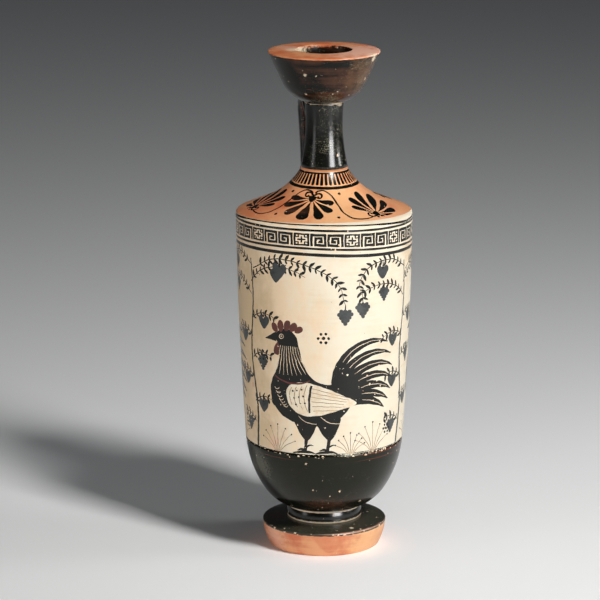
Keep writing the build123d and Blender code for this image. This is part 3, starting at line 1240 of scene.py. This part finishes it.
def place_group():
    """Where a point lies on the vessel: place, radius and height in millimetres."""
    tree, w, _, end = group_tree("Place on Vessel", {}, "Place", "Radius", "Height")
    if w:
        here = w.node("ShaderNodeTexCoord").outputs["Object"]
        place = w.vector("MULTIPLY", here, (1 / MM,) * 3)
        x, y, z = w.node("ShaderNodeSeparateXYZ", {0: place}).outputs
        w.feed(end["Place"], place)
        w.feed(end["Radius"], w.math("SQRT", w.math("MULTIPLY_ADD", x, x, w.times(y, y))))
        w.feed(end["Height"], z)
    return tree


def mottle_group():
    """Cloudy unevenness of a slip, broad and fine, with the sizes in millimetres."""
    settings = {"Breadth": 14.0, "Fineness": 1.6}
    tree, w, start, end = group_tree("Cloudy Slip", settings, "Cloud", "Grain")
    if w:
        place = w.group(place_group())["Place"]
        w.feed(end["Cloud"], w.noise(place, w.over(start["Breadth"]), 4.0))
        w.feed(end["Grain"], w.noise(place, w.over(start["Fineness"])))
    return tree


def wheel_group():
    """Marks that the turning wheel leaves: streaks and ridges that run round the vessel."""
    tree, w, start, end = group_tree("Wheel Marks", {"Pitch": 2.2}, "Streak", "Ridge")
    if w:
        place = w.group(place_group())["Place"]
        streaks = w.stretched(place, (0.06, 0.06, 1.0))
        w.feed(end["Streak"], w.noise(streaks, w.math("DIVIDE", 0.5, start["Pitch"]), 5.0))
        ridges = w.stretched(place, (0.02, 0.02, 1.0))
        w.feed(end["Ridge"], w.noise(ridges, w.over(start["Pitch"]), 2.0))
    return tree


def losses_group():
    """Small spots where a coat has flaked away."""
    settings = {"Spacing": 6.0, "Size": 0.9, "Share": 0.4}
    tree, w, start, end = group_tree("Flaked Spots", settings, "Spots")
    if w:
        place = w.group(place_group())["Place"]
        warp = w.noise(place, 1.5)
        cells = w.node("ShaderNodeTexVoronoi", {"Vector": place, "Scale": w.over(start["Spacing"])}).outputs
        tint = w.node("ShaderNodeSeparateColor", {0: cells["Color"]}).outputs
        reach = w.times(cells["Distance"], start["Spacing"])
        own = w.times(start["Size"], w.math("MULTIPLY_ADD", tint[1], 0.9, 0.1))
        inside = w.math("LESS_THAN", w.swing(warp, 2.4, reach), own)
        chosen = w.math("LESS_THAN", tint[0], start["Share"])
        w.feed(end["Spots"], w.times(inside, chosen))
    return tree


def edge_group():
    """One above a level and nought below it, with a ragged brushed edge between."""
    settings = {"Value": 0.0, "Level": 0.0, "Raggedness": 0.4, "Softness": 0.15}
    tree, w, start, end = group_tree("Ragged Edge", settings, "Above")
    if w:
        sway = w.noise(w.group(place_group())["Place"], 0.55, 4.0, 0.65)
        value = w.swing(sway, start["Raggedness"], w.math("SUBTRACT", start["Value"], start["Level"]))
        above = w.math("MULTIPLY_ADD", value, w.over(start["Softness"]), 0.5, clamp=True)
        w.feed(end["Above"], above)
    return tree


def patch_group():
    """One inside a ragged patch about a point of the vessel, which may be flattened, and nought outside."""
    settings = {
        "X": 0.0, "Y": 0.0, "Z": 0.0, "Reach": 8.0, "Flatness": 1.0, "Fineness": 2.0, "Softness": 0.6,
    }
    tree, w, start, end = group_tree("Ragged Patch", settings, "Inside")
    if w:
        squeeze = w.node("ShaderNodeCombineXYZ", {0: 1.0, 1: 1.0, 2: start["Flatness"]}).outputs[0]
        middle = w.node("ShaderNodeCombineXYZ", {axis: start[axis] for axis in "XYZ"}).outputs[0]
        flat = w.vector("MULTIPLY", w.vector("SUBTRACT", w.group(place_group())["Place"], middle), squeeze)
        sway = w.noise(flat, w.over(start["Fineness"]), 4.0, 0.65)
        nearness = w.math("SUBTRACT", start["Reach"], w.vector("LENGTH", flat))
        value = w.swing(sway, w.times(start["Reach"], 2.0), nearness)
        fade = w.times(start["Reach"], start["Softness"])
        w.feed(end["Inside"], w.math("DIVIDE", value, fade, clamp=True))
    return tree


def about_axis(azimuth, radius, height):
    """Point at an azimuth from the front, a distance from the axis and a height."""
    return radius * math.sin(azimuth), -radius * math.cos(azimuth), height


def patch(colour, share, azimuth, radius, height, reach, **settings):
    """A ragged patch: its colour's name, its strength, its place and reach in degrees and millimetres."""
    x, y, z = about_axis(math.radians(azimuth), radius, height)
    return colour, share, {"X": x, "Y": y, "Z": z, "Reach": reach, **settings}


def tinted(w, colour, other, mask, share):
    """A colour with a share of another over it where a mask says so."""
    return w.mix(w.times(mask, share), colour, other)


def patched(w, colour, colours, patches):
    """A colour with patches of other colours over it."""
    for name, share, settings in patches:
        colour = tinted(w, colour, getattr(colours, name), w.group(patch_group(), **settings)[0], share)
    return colour


def flaked(w, spacing, size, share):
    """One in the spots where a coat has flaked away."""
    return w.group(losses_group(), Spacing=spacing, Size=size, Share=share)[0]


def ragged(w, value, level, raggedness, softness=0.15):
    """One where a value is above a level, with a ragged edge."""
    return w.group(edge_group(), Value=value, Level=level, Raggedness=raggedness, Softness=softness)[0]


def new_material(name):
    """An empty material, its wiring and its Principled BSDF."""
    material = bpy.data.materials.new(name)
    material.use_nodes = True
    return material, Wiring(material.node_tree), material.node_tree.nodes["Principled BSDF"]


def gloss_coat(
    w, colours, brown=0.2, flakes=0.35, dust=0.0, streaks=0.0, specks=(), wear=(), chips=None, patches=(),
    roughness=0.22,
):
    """Black gloss with red streaks from the wheel, dull specks, patches, worn edges and flaked spots.

    specks lists patches that are dustier than the rest, wear lists (axis, level, half width) of the
    edges where the ground shows, and chips is such an edge with flaked spots along it.
    """
    place = w.group(place_group())
    cloud = w.group(mottle_group(), Breadth=22.0)
    wheel = w.group(wheel_group(), Pitch=2.4)
    share = w.swing(wheel["Streak"], 1.1, cloud["Cloud"])
    browned = w.rise(share, 0.62 - 0.3 * brown, 0.95 - 0.3 * brown)
    colour = w.mix(browned, colours.gloss, colours.brown_gloss)
    if streaks:
        lines = w.group(wheel_group(), Pitch=0.9)["Streak"]
        reddened = w.rise(lines, 0.75 - 0.2 * streaks, 0.85 - 0.2 * streaks)
        colour = w.mix(reddened, colour, colours.red_gloss)
    if dust:
        dusting = w.group(mottle_group(), Breadth=9.0, Fineness=0.6)
        dull = w.swing(dusting["Cloud"], 0.5, dusting["Grain"])
        for _, share, settings in specks:
            dull = w.math("MULTIPLY_ADD", w.group(patch_group(), **settings)[0], share, dull)
        colour = w.mix(w.rise(dull, 0.72 - 0.2 * dust, 0.8 - 0.2 * dust), colour, colours.dusty)
    colour = patched(w, colour, colours, patches)
    bare = flaked(w, spacing=5.0, size=0.8, share=flakes)
    bare = w.most(bare, flaked(w, spacing=2.6, size=0.4, share=0.5 * flakes))
    if chips:
        axis, level, half = chips
        nearness = w.rise(w.apart(place[axis], level), half, 0.0)
        bare = w.most(bare, flaked(w, spacing=1.9, size=0.9, share=w.times(nearness, 0.7)))
    for axis, level, half in wear:
        nearness = w.math("SUBTRACT", half, w.apart(place[axis], level))
        bare = w.most(bare, ragged(w, nearness, level=0.35 * half, raggedness=2.4 * half))
    colour = w.mix(bare, colour, w.mix(w.rise(cloud["Grain"], 0.5, 0.75), colours.chip, colours.clay))
    sheen = w.swing(cloud["Grain"], 0.16, roughness)
    relief = w.math("MULTIPLY_ADD", cloud["Cloud"], 0.8, w.times(wheel["Ridge"], 0.5))
    return Coat(
        colour, w.math("MULTIPLY_ADD", bare, 0.4, sheen), w.math("MULTIPLY_ADD", bare, -0.25, relief),
    )


def clay_coat(w, colours, redness=0.35, patches=(), roughness=0.42):
    """Bare burnished clay with wheel streaks, redder clouds, patches and fine specks."""
    cloud = w.group(mottle_group(), Breadth=16.0, Fineness=0.9)
    wheel = w.group(wheel_group(), Pitch=1.6)
    share = w.swing(wheel["Streak"], 0.7, cloud["Cloud"])
    colour = w.mix(w.rise(share, 0.8 - redness, 1.15 - redness), colours.clay, colours.red_clay)
    colour = patched(w, colour, colours, patches)
    colour = tinted(w, colour, colours.brown_gloss, flaked(w, spacing=1.7, size=0.22, share=0.12), 0.35)
    colour = tinted(w, colour, colours.chip, flaked(w, spacing=5.0, size=0.5, share=0.2), 0.5)
    relief = w.math("MULTIPLY_ADD", cloud["Grain"], 0.3, w.times(wheel["Ridge"], 0.6))
    return Coat(colour, w.swing(cloud["Grain"], 0.2, roughness), relief)


def white_coat(w, colours, patches=(), roughness=0.5):
    """Matt white ground with warm stains, brushed streaks and small specks."""
    cloud = w.group(mottle_group(), Breadth=26.0, Fineness=0.7)
    wheel = w.group(wheel_group(), Pitch=1.2)
    share = w.swing(wheel["Streak"], 0.5, cloud["Cloud"])
    colour = tinted(w, colours.white, colours.stain, w.rise(share, 0.45, 0.95), 0.75)
    colour = patched(w, colour, colours, patches)
    colour = tinted(w, colour, colours.thinned, flaked(w, spacing=3.4, size=0.26, share=0.1), 0.45)
    colour = tinted(w, colour, colours.red_clay, flaked(w, spacing=16.0, size=1.7, share=0.18), 0.22)
    relief = w.math("MULTIPLY_ADD", cloud["Grain"], 0.25, w.times(wheel["Ridge"], 0.6))
    return Coat(colour, w.swing(cloud["Grain"], 0.18, roughness), relief)


def brush_coat(w, dark, light, spread, roughness):
    """A thin paint that is stronger here and weaker there, as a brush leaves it."""
    cloud = w.group(mottle_group(), Breadth=6.0, Fineness=0.8)
    share = w.swing(cloud["Grain"], 0.6, cloud["Cloud"])
    colour = w.mix(w.rise(share, 0.6 - spread, 0.6 + spread), dark, light)
    return Coat(colour, w.swing(cloud["Grain"], 0.2, roughness), w.times(cloud["Grain"], 0.3))


def laid_over(w, share, under, upper):
    """One coat over another, where a mask says so."""
    return Coat(
        w.mix(share, under.colour, upper.colour), w.between(share, under.roughness, upper.roughness),
        w.between(share, under.relief, upper.relief),
    )


def finish(name, coat_of, *arguments, specular=0.5, tint=(1, 1, 1), **options):
    """A material by name, whose coat is laid once."""
    if name not in bpy.data.materials:
        _, w, shader = new_material(name)
        coat = coat_of(w, *arguments, **options)
        bump = w.node("ShaderNodeBump", {"Height": coat.relief, "Distance": RELIEF * MM, "Strength": 1.0})
        shader.inputs["Specular IOR Level"].default_value = specular
        w.feed(shader.inputs["Specular Tint"], tint)
        w.feed(shader.inputs["Base Color"], coat.colour)
        w.feed(shader.inputs["Roughness"], coat.roughness)
        w.feed(shader.inputs["Normal"], bump.outputs[0])
    return bpy.data.materials[name]


def mouth_coat(w, colours):
    """Brown-black gloss on the flank and in the funnel, with a bare worn lip between. The flank's left is
    darkened with painted shade; its right and the lip's right are lightened, partly as painted sheen; the
    pale patch in the funnel's left is partly wear and partly a painted highlight.
    """
    place = w.group(place_group())
    gloss = gloss_coat(
        w, colours, brown=0.8, flakes=0.28, dust=0.3, streaks=0.7, roughness=0.22,
        # The first dull patch lightens the flank's right: partly dull gloss and partly painted sheen.
        specks=[patch("dusty", 0.14, 42, 29, 291, 15), patch("dusty", 0.16, -5, 16, 274, 10)],
        patches=[
            # Painted shade: pure black gloss over the flank's left makes it darker than the brown-black gloss
            # elsewhere.
            patch("gloss", 1.0, -85, 27, 288, 26, Fineness=6.0),
            # Partly thinned gloss and partly painted sheen: a lighter brown over the flank's right.
            patch("thinned", 0.4, 46, 30, 290, 20, Fineness=6.0),
            patch("chip", 0.9, 52, 32, 298, 3, Fineness=0.9),
            patch("chip", 0.9, -35, 28.5, 290, 1.2, Fineness=0.8),
            # Partly wear and partly a painted highlight: a broad pale patch inside the funnel on the left.
            patch("chip", 1.0, -115, 15.5, 299, 12, Fineness=1.6),
        ],
    )
    clay = clay_coat(
        w, colours, redness=0.5, roughness=0.34,
        patches=[
            # Partly wear and partly painted sheen: the lip's right laid pale and rosy.
            patch("rosy", 1.0, 60, 24, TOTAL_HEIGHT, 27, Fineness=6.0),
            patch("chip", 0.95, -95, 17, TOTAL_HEIGHT, 7, Fineness=1.4),
            patch("rosy", 0.6, -120, 22, TOTAL_HEIGHT, 9),
            patch("chip", 0.8, 50, 32.5, TOTAL_HEIGHT - 1, 4, Fineness=0.8),
        ],
    )
    high = ragged(w, place["Height"], level=TOTAL_HEIGHT - RIM_DROP - 0.7, raggedness=0.7)
    outer = ragged(w, place["Radius"], level=LIP_RADIUS, raggedness=0.7)
    return laid_over(w, w.times(high, outer), gloss, clay)


def foot_coat(w, colours):
    """Bare clay with a drip-shaped stain in front, and black gloss over the top and its edge. The clay's
    right side is paled as a painted highlight, and the rosy line along the edge at the right is partly wear
    and partly a painted highlight.
    """
    place = w.group(place_group())
    clay = clay_coat(
        w, colours, redness=0.45, roughness=0.5,
        patches=[
            # Painted highlight: paler, yellower clay on the foot's right side.
            patch("pale_clay", 0.6, 38, 36, 9, 24, Fineness=12.0),
            patch("rosy", 0.5, -70, 35, 8, 13), patch("red_clay", 0.5, 100, 35, 6, 16),
        ],
    )
    drip_turn, drip_foot, drip_breadth = math.radians(-6.5), 2.2, 3.5
    aside = w.vector("DOT_PRODUCT", place["Place"], (math.cos(drip_turn), math.sin(drip_turn), 0))
    ahead = w.node("ShaderNodeSeparateXYZ", {0: place["Place"]}).outputs["Y"]
    rise = w.most(w.math("SUBTRACT", place["Height"], drip_foot), 0.0)
    half = w.times(w.math("POWER", rise, 0.5), drip_breadth)
    inside = w.math("SUBTRACT", half, w.math("ABSOLUTE", aside))
    stain = ragged(w, inside, level=1.0, raggedness=3.0, softness=1.8)
    front_stain = w.times(stain, w.math("LESS_THAN", ahead, 0.0))
    stained = tinted(w, clay.colour, colours.red_clay, front_stain, 0.45)
    gloss = gloss_coat(
        w, colours, brown=0.1, flakes=0.3, dust=0.35, chips=("Radius", FOOT_EDGE[0] + 0.4, 1.8),
        patches=[
            patch("dusty", 0.22, 0, 0, 15.5, 90, Fineness=40.0),
            # Partly wear and partly a painted highlight: a pale rosy line along the foot's edge at the right.
            patch("rosy", 0.8, 24, 37.3, 14.7, 30, Flatness=90.0, Fineness=6.0),
            patch("chip", 0.9, 20, 31, 15.9, 1.6, Fineness=0.8), patch("brown_gloss", 0.8, -100, 30, 15, 12),
        ],
    )
    glossed = ragged(w, place["Height"], level=FOOT_EDGE[1] - 1.2, raggedness=1.4)
    return laid_over(w, glossed, clay._replace(colour=stained), gloss)


def neck_coat(w, colours):
    """Specked black gloss, with a line of bare clay at the root."""
    gloss = gloss_coat(
        w, colours, brown=0.1, flakes=0.18, dust=0.38, roughness=0.19,
        specks=[
            patch("dusty", 0.04, 30, 12, 245, 40, Fineness=12.0), patch("dusty", 0.05, 70, 12, 252, 18),
        ],
        patches=[patch("chip", 0.9, 42, 12, 269.5, 3, Flatness=2.0, Fineness=0.6)],
        wear=[("Height", MOUTH_BASE - LUTING, 0.5)],
    )
    height = w.group(place_group())["Height"]
    glossed = ragged(w, height, level=COLLAR[1] + 1.45, raggedness=0.5)
    return laid_over(w, glossed, clay_coat(w, colours), gloss)


def handle_coat(w, colours):
    """Black gloss, thin and red high on the side towards the neck; the red strip is partly the thin gloss and
    partly a painted highlight, and fades out downwards.
    """
    gloss = gloss_coat(w, colours, brown=0.3, flakes=0.5, dust=0.3)
    thin = brush_coat(w, colours.brown_gloss, colours.red_gloss, 0.3, 0.3)
    normal = w.node("ShaderNodeNewGeometry").outputs["Normal"]
    inward = w.vector("DOT_PRODUCT", normal, (0, -0.8, -0.6))
    bare = ragged(w, inward, level=0.8, raggedness=0.5, softness=0.25)
    # The red strip fades out below the top of the handle: partly the thin red gloss and partly a painted
    # highlight.
    upper = w.rise(w.group(place_group())["Height"], 244.0, 258.0)
    return laid_over(w, w.times(bare, upper), gloss, thin)


def shoulder_clay(colours):
    """Burnished clay of the shoulder, paler on the right, and redder and darker on the left, partly as
    painted shade.
    """
    return finish(
        "shoulder_clay", clay_coat, colours, redness=0.3, roughness=0.32,
        patches=[
            patch("pale_clay", 0.5, 8, 36, 214, 30, Fineness=10.0),
            # Partly real tone and partly painted shade: redder, darker clay over the shoulder's left.
            patch("red_clay", 0.6, -80, 40, 212, 26, Fineness=8.0),
            patch("rosy", 0.15, 45, 40, 212, 24, Fineness=8.0),
        ],
    )


def belly_gloss(colours):
    """Black gloss of the belly, red in streaks below the white ground."""
    return finish(
        "belly_gloss", gloss_coat, colours, specular=0.33, tint=(1, 1, 0.8), brown=0.05, flakes=0.22,
        dust=0.1, chips=("Height", WHITE_EDGE[1] - 0.3, 2.6),
        patches=[
            patch("red_gloss", 0.4, 42, 46.5, 65.4, 30, Flatness=26.0, Fineness=5.0),
            patch("red_gloss", 0.5, 38, 46, 61.9, 26, Flatness=60.0, Fineness=6.0),
            patch("red_gloss", 0.45, -52, 46.3, 63.0, 18, Flatness=60.0, Fineness=5.0),
            patch("red_gloss", 0.7, 165, 46.5, 64.5, 40, Flatness=14.0, Fineness=9.0),
            patch("brown_gloss", 0.6, -10, 34, 33, 16, Flatness=3.0, Fineness=5.0),
            patch("dusty", 0.35, -70, 45, 55, 11, Fineness=1.2),
        ],
    )


def brushed_white(colours):
    """White ground, warmer on the left and stained here and there."""
    return finish(
        "brushed_white", white_coat, colours, specular=0.25,
        patches=[
            patch("pale_clay", 0.45, -70, 50, 135, 60, Flatness=0.5, Fineness=14.0),
            patch("stain", 0.7, -62, 48, 78, 16, Fineness=5.0), patch("rosy", 0.5, -50, 47, 72, 5),
            patch("stain", 0.9, -90, 50, 140, 46, Flatness=0.6, Fineness=12.0),
            patch("stain", 0.6, 60, 52, 185, 12, Fineness=4.0),
            patch("stain", 0.6, 150, 50, 110, 26, Fineness=7.0), patch("rosy", 0.4, 120, 52, 170, 9),
        ],
    )


def pale_slip(colours):
    """Pale slip, brushed thin."""
    return finish("pale_slip", brush_coat, colours.white, colours.stain, 0.3, 0.5)


def paint_materials(ground, colours):
    """Materials of a painted piece, in the order of the paints."""
    return [
        ground,
        finish("painted_gloss", gloss_coat, colours, specular=0.4, brown=0.1, flakes=0.22, roughness=0.22),
        finish("thinned_gloss", brush_coat, colours.thinned, colours.stain, 0.25, 0.5),
        finish("weak_gloss", brush_coat, colours.wash, colours.gloss, 0.25, 0.34),
        finish("scratched_line", brush_coat, colours.chip, colours.thinned, 0.3, 0.6),
        finish("added_red", brush_coat, colours.added_red, colours.brown_gloss, 0.3, 0.5),
        pale_slip(colours),
        shoulder_clay(colours),
    ]


# Operators


class FLASK_OT_body(bpy.types.Operator):
    """Turn the body and paint its shoulder"""

    bl_idname = "flask.body"
    bl_label = "Body"

    def execute(self, context):
        colours = context.scene.flask_colours
        inner = finish("inner_clay", clay_coat, colours, redness=0.6, roughness=0.7)
        materials = paint_materials(shoulder_clay(colours), colours) + [belly_gloss(colours), inner]
        belly_slot, inner_slot = len(materials) - 2, len(materials) - 1
        belly_points = [(BELLY_ROOT_RADIUS, RING_TOP), BELLY_TURN, (42.6, 46), WHITE_EDGE]
        belly_radii, belly_heights = zip(*belly_points)

        def slot_of(radius, height):
            """Gloss outside the belly, clay elsewhere."""
            on_belly = height <= WHITE_EDGE[1] and radius > BELLY_ROOT_RADIUS and height > RING_TOP
            outside = radius > 0.93 * np.interp(height, belly_heights, belly_radii)
            return belly_slot if on_belly and outside else inner_slot

        painting = paint_shoulder(context.scene.flask_ornament)
        add_turned(
            "body_skin", body_outline(), materials, "orange_clay", "body", slot_of=slot_of, painting=painting,
        )
        return {"FINISHED"}


class FLASK_OT_white_ground(bpy.types.Operator):
    """Lay the white ground and paint its bands and picture"""

    bl_idname = "flask.white_ground"
    bl_label = "White Ground"

    def execute(self, context):
        colours = context.scene.flask_colours
        materials = paint_materials(brushed_white(colours), colours)
        painting = paint_white_ground(context.scene.flask_ornament)
        add_turned(
            "white_ground", coat_outline(), materials, "white_ground", "white_ground_coat", painting=painting,
        )
        return {"FINISHED"}


class FLASK_OT_neck(bpy.types.Operator):
    """Turn the neck"""

    bl_idname = "flask.neck"
    bl_label = "Neck"

    def execute(self, context):
        gloss = finish("neck_skin", neck_coat, context.scene.flask_colours, specular=0.45)
        add_turned("neck_skin", neck_outline(), [gloss], "black_gloss", "neck")
        return {"FINISHED"}


class FLASK_OT_mouth(bpy.types.Operator):
    """Turn the mouth, with a bare lip"""

    bl_idname = "flask.mouth"
    bl_label = "Mouth"

    def execute(self, context):
        skin = finish("mouth_skin", mouth_coat, context.scene.flask_colours, specular=0.2)
        add_turned("mouth_skin", mouth_outline(), [skin], "black_gloss", "mouth")
        return {"FINISHED"}


class FLASK_OT_foot(bpy.types.Operator):
    """Turn the foot and the ring above it"""

    bl_idname = "flask.foot"
    bl_label = "Foot and Ring"

    def execute(self, context):
        colours = context.scene.flask_colours
        skin = finish("foot_skin", foot_coat, colours)
        add_turned("foot_skin", foot_outline(), [skin], "orange_clay", "foot")
        gloss = finish(
            "ring_gloss", gloss_coat, colours, brown=0.1, flakes=0.5, dust=0.3, roughness=0.2,
            wear=[("Height", SEAT_HEIGHT + 0.7, 0.7), ("Height", RING_TOP - 0.5, 0.4)],
        )
        gloss_slot, slip_slot = 0, 1

        def slot_of(_, height):
            """Pale slip in the grooves at the ring's edges, gloss elsewhere."""
            in_groove = min(height - SEAT_HEIGHT, RING_TOP - height) < RING_GROOVE
            return slip_slot if in_groove else gloss_slot

        materials = [gloss, pale_slip(colours)]
        add_turned(
            "fillet_ring_skin", ring_outline(), materials, "black_gloss", "fillet_ring", slot_of=slot_of,
        )
        return {"FINISHED"}


def dress(material, *nodes):
    """Gives CAD nodes, whose shapes stay as they are, a material."""
    for name in nodes:
        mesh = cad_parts[name].data
        mesh.materials.clear()
        mesh.materials.append(material)


class FLASK_OT_handle(bpy.types.Operator):
    """Gloss the handle"""

    bl_idname = "flask.handle"
    bl_label = "Handle"

    def execute(self, context):
        gloss = finish("handle_gloss", handle_coat, context.scene.flask_colours)
        dress(gloss, "handle", "handle_neck_slip", "handle_shoulder_slip")
        return {"FINISHED"}


class FLASK_OT_joint_slips(bpy.types.Operator):
    """Give the luted joints their slip, glossed where it shows"""

    bl_idname = "flask.joint_slips"
    bl_label = "Luted Joints"

    def execute(self, context):
        colours = context.scene.flask_colours
        dress(finish("fired_slip", clay_coat, colours, redness=0.2, roughness=0.5), "foot_joint_slip")
        gloss = finish(
            "joint_gloss", gloss_coat, colours, brown=0.2, flakes=1.0, dust=0.9,
            patches=[patch("chip", 0.9, 30, 12, 270, 6, Fineness=0.8)],
        )
        dress(gloss, "mouth_joint_slip")
        dress(shoulder_clay(colours), "neck_joint_slip")
        return {"FINISHED"}


def add_aimed(name, data, place, aim):
    """Adds a lamp or camera that points at a height on the vessel's axis."""
    thing = bpy.data.objects.new(name, data)
    thing.location = place
    thing.rotation_euler = (Vector((0, 0, aim)) - thing.location).to_track_quat("-Z", "Y").to_euler()
    bpy.context.scene.collection.objects.link(thing)
    return thing


def area_light(stage, name, power, turn, distance, height, size, colour=(1, 1, 1)):
    """A soft rectangular lamp that points at the vessel's middle, some degrees round from the camera."""
    lamp = bpy.data.lights.new(name, "AREA")
    lamp.shape = "RECTANGLE"
    lamp.size, lamp.size_y = size
    lamp.energy = power
    lamp.color = colour
    place = about_axis(stage.azimuth + math.radians(turn), distance, height)
    return add_aimed(name, lamp, place, TOTAL_HEIGHT * MM / 2)


def add_floor(stage):
    """A plain pale floor."""
    material, w, shader = new_material("floor_paper")
    w.feed(shader.inputs["Base Color"], tuple(stage.floor))
    shader.inputs["Roughness"].default_value = FLOOR_ROUGHNESS
    shape = bmesh.new()
    bmesh.ops.create_grid(shape, x_segments=1, y_segments=1, size=FLOOR_REACH)
    mesh = bpy.data.meshes.new("floor")
    shape.to_mesh(mesh)
    shape.free()
    mesh.materials.append(material)
    floor = bpy.data.objects.new("floor", mesh)
    bpy.context.scene.collection.objects.link(floor)


def add_lights(stage):
    """Even light all round and five lamps, one for shine alone and one without shine."""
    world = bpy.data.worlds.new("studio")
    world.use_nodes = True
    bpy.context.scene.world = world
    sky = world.node_tree.nodes["Background"]
    sky.inputs["Color"].default_value = SKY_COLOUR
    sky.inputs["Strength"].default_value = stage.sky
    key = area_light(
        stage, "key", stage.key_power, turn=42, distance=1.0, height=1.2, size=(0.22, 0.4),
        colour=(1, 0.98, 0.96),
    )
    key.data.spread = KEY_SPREAD
    strip = area_light(
        stage, "strip", stage.strip_power, turn=41, distance=1.4, height=0.46, size=(0.6, 0.72),
    )
    strip.visible_diffuse = False
    area_light(stage, "side", stage.side_power, turn=88, distance=1.2, height=0.4, size=(0.3, 0.3))
    area_light(stage, "card", stage.card_power, turn=-62, distance=1.2, height=0.3, size=(0.3, 0.5))
    front = area_light(
        stage, "front_fill", stage.fill_power, turn=-12, distance=2.2, height=0.3, size=(1.4, 0.5),
    )
    front.visible_glossy = False


def add_camera(stage):
    """The camera, at the photo's angle."""
    camera = bpy.data.cameras.new("camera")
    camera.sensor_width = SENSOR_WIDTH
    camera.lens = stage.lens
    camera.shift_x = stage.shift
    place = about_axis(stage.azimuth, stage.distance, stage.height)
    bpy.context.scene.camera = add_aimed("camera", camera, place, stage.aim)


class FLASK_OT_stage(bpy.types.Operator):
    """Set up the floor, lights and camera"""

    bl_idname = "flask.stage"
    bl_label = "Stage"

    def execute(self, context):
        stage = context.scene.flask_stage
        add_floor(stage)
        add_lights(stage)
        add_camera(stage)
        context.scene.view_settings.view_transform = "Standard"
        return {"FINISHED"}


OPERATORS = (
    FLASK_OT_body, FLASK_OT_white_ground, FLASK_OT_neck, FLASK_OT_mouth, FLASK_OT_foot, FLASK_OT_handle,
    FLASK_OT_joint_slips, FLASK_OT_stage,
)
GROUPS = {"flask_ornament": FlaskOrnament, "flask_colours": FlaskColours, "flask_stage": FlaskStage}


class FLASK_PT_panel(bpy.types.Panel):
    """Lists the pieces and settings of the flask"""

    bl_idname = "FLASK_PT_panel"
    bl_label = "Painted Oil Flask"
    bl_space_type = "VIEW_3D"
    bl_region_type = "UI"
    bl_category = "Flask"

    def draw(self, context):
        """Draws a button for each operator and a box for each group of settings."""
        for operator in OPERATORS:
            self.layout.operator(operator.bl_idname)
        for name in GROUPS:
            group = getattr(context.scene, name)
            box = self.layout.box()
            for key in group.__annotations__:
                box.prop(group, key)


def register():
    """Registers the settings, operators and panel."""
    for name, group in GROUPS.items():
        bpy.utils.register_class(group)
        setattr(bpy.types.Scene, name, PointerProperty(type=group))
    for operator in OPERATORS:
        bpy.utils.register_class(operator)
    bpy.utils.register_class(FLASK_PT_panel)


def unregister():
    """Takes the panel, operators and settings away again."""
    bpy.utils.unregister_class(FLASK_PT_panel)
    for operator in reversed(OPERATORS):
        bpy.utils.unregister_class(operator)
    for name, group in GROUPS.items():
        delattr(bpy.types.Scene, name)
        bpy.utils.unregister_class(group)


def main():
    """Dresses the frame piece by piece."""
    register()
    bpy.ops.flask.body()
    bpy.ops.flask.white_ground()
    bpy.ops.flask.neck()
    bpy.ops.flask.mouth()
    bpy.ops.flask.foot()
    bpy.ops.flask.handle()
    bpy.ops.flask.joint_slips()
    bpy.ops.flask.stage()


if __name__ == "__main__":
    main()
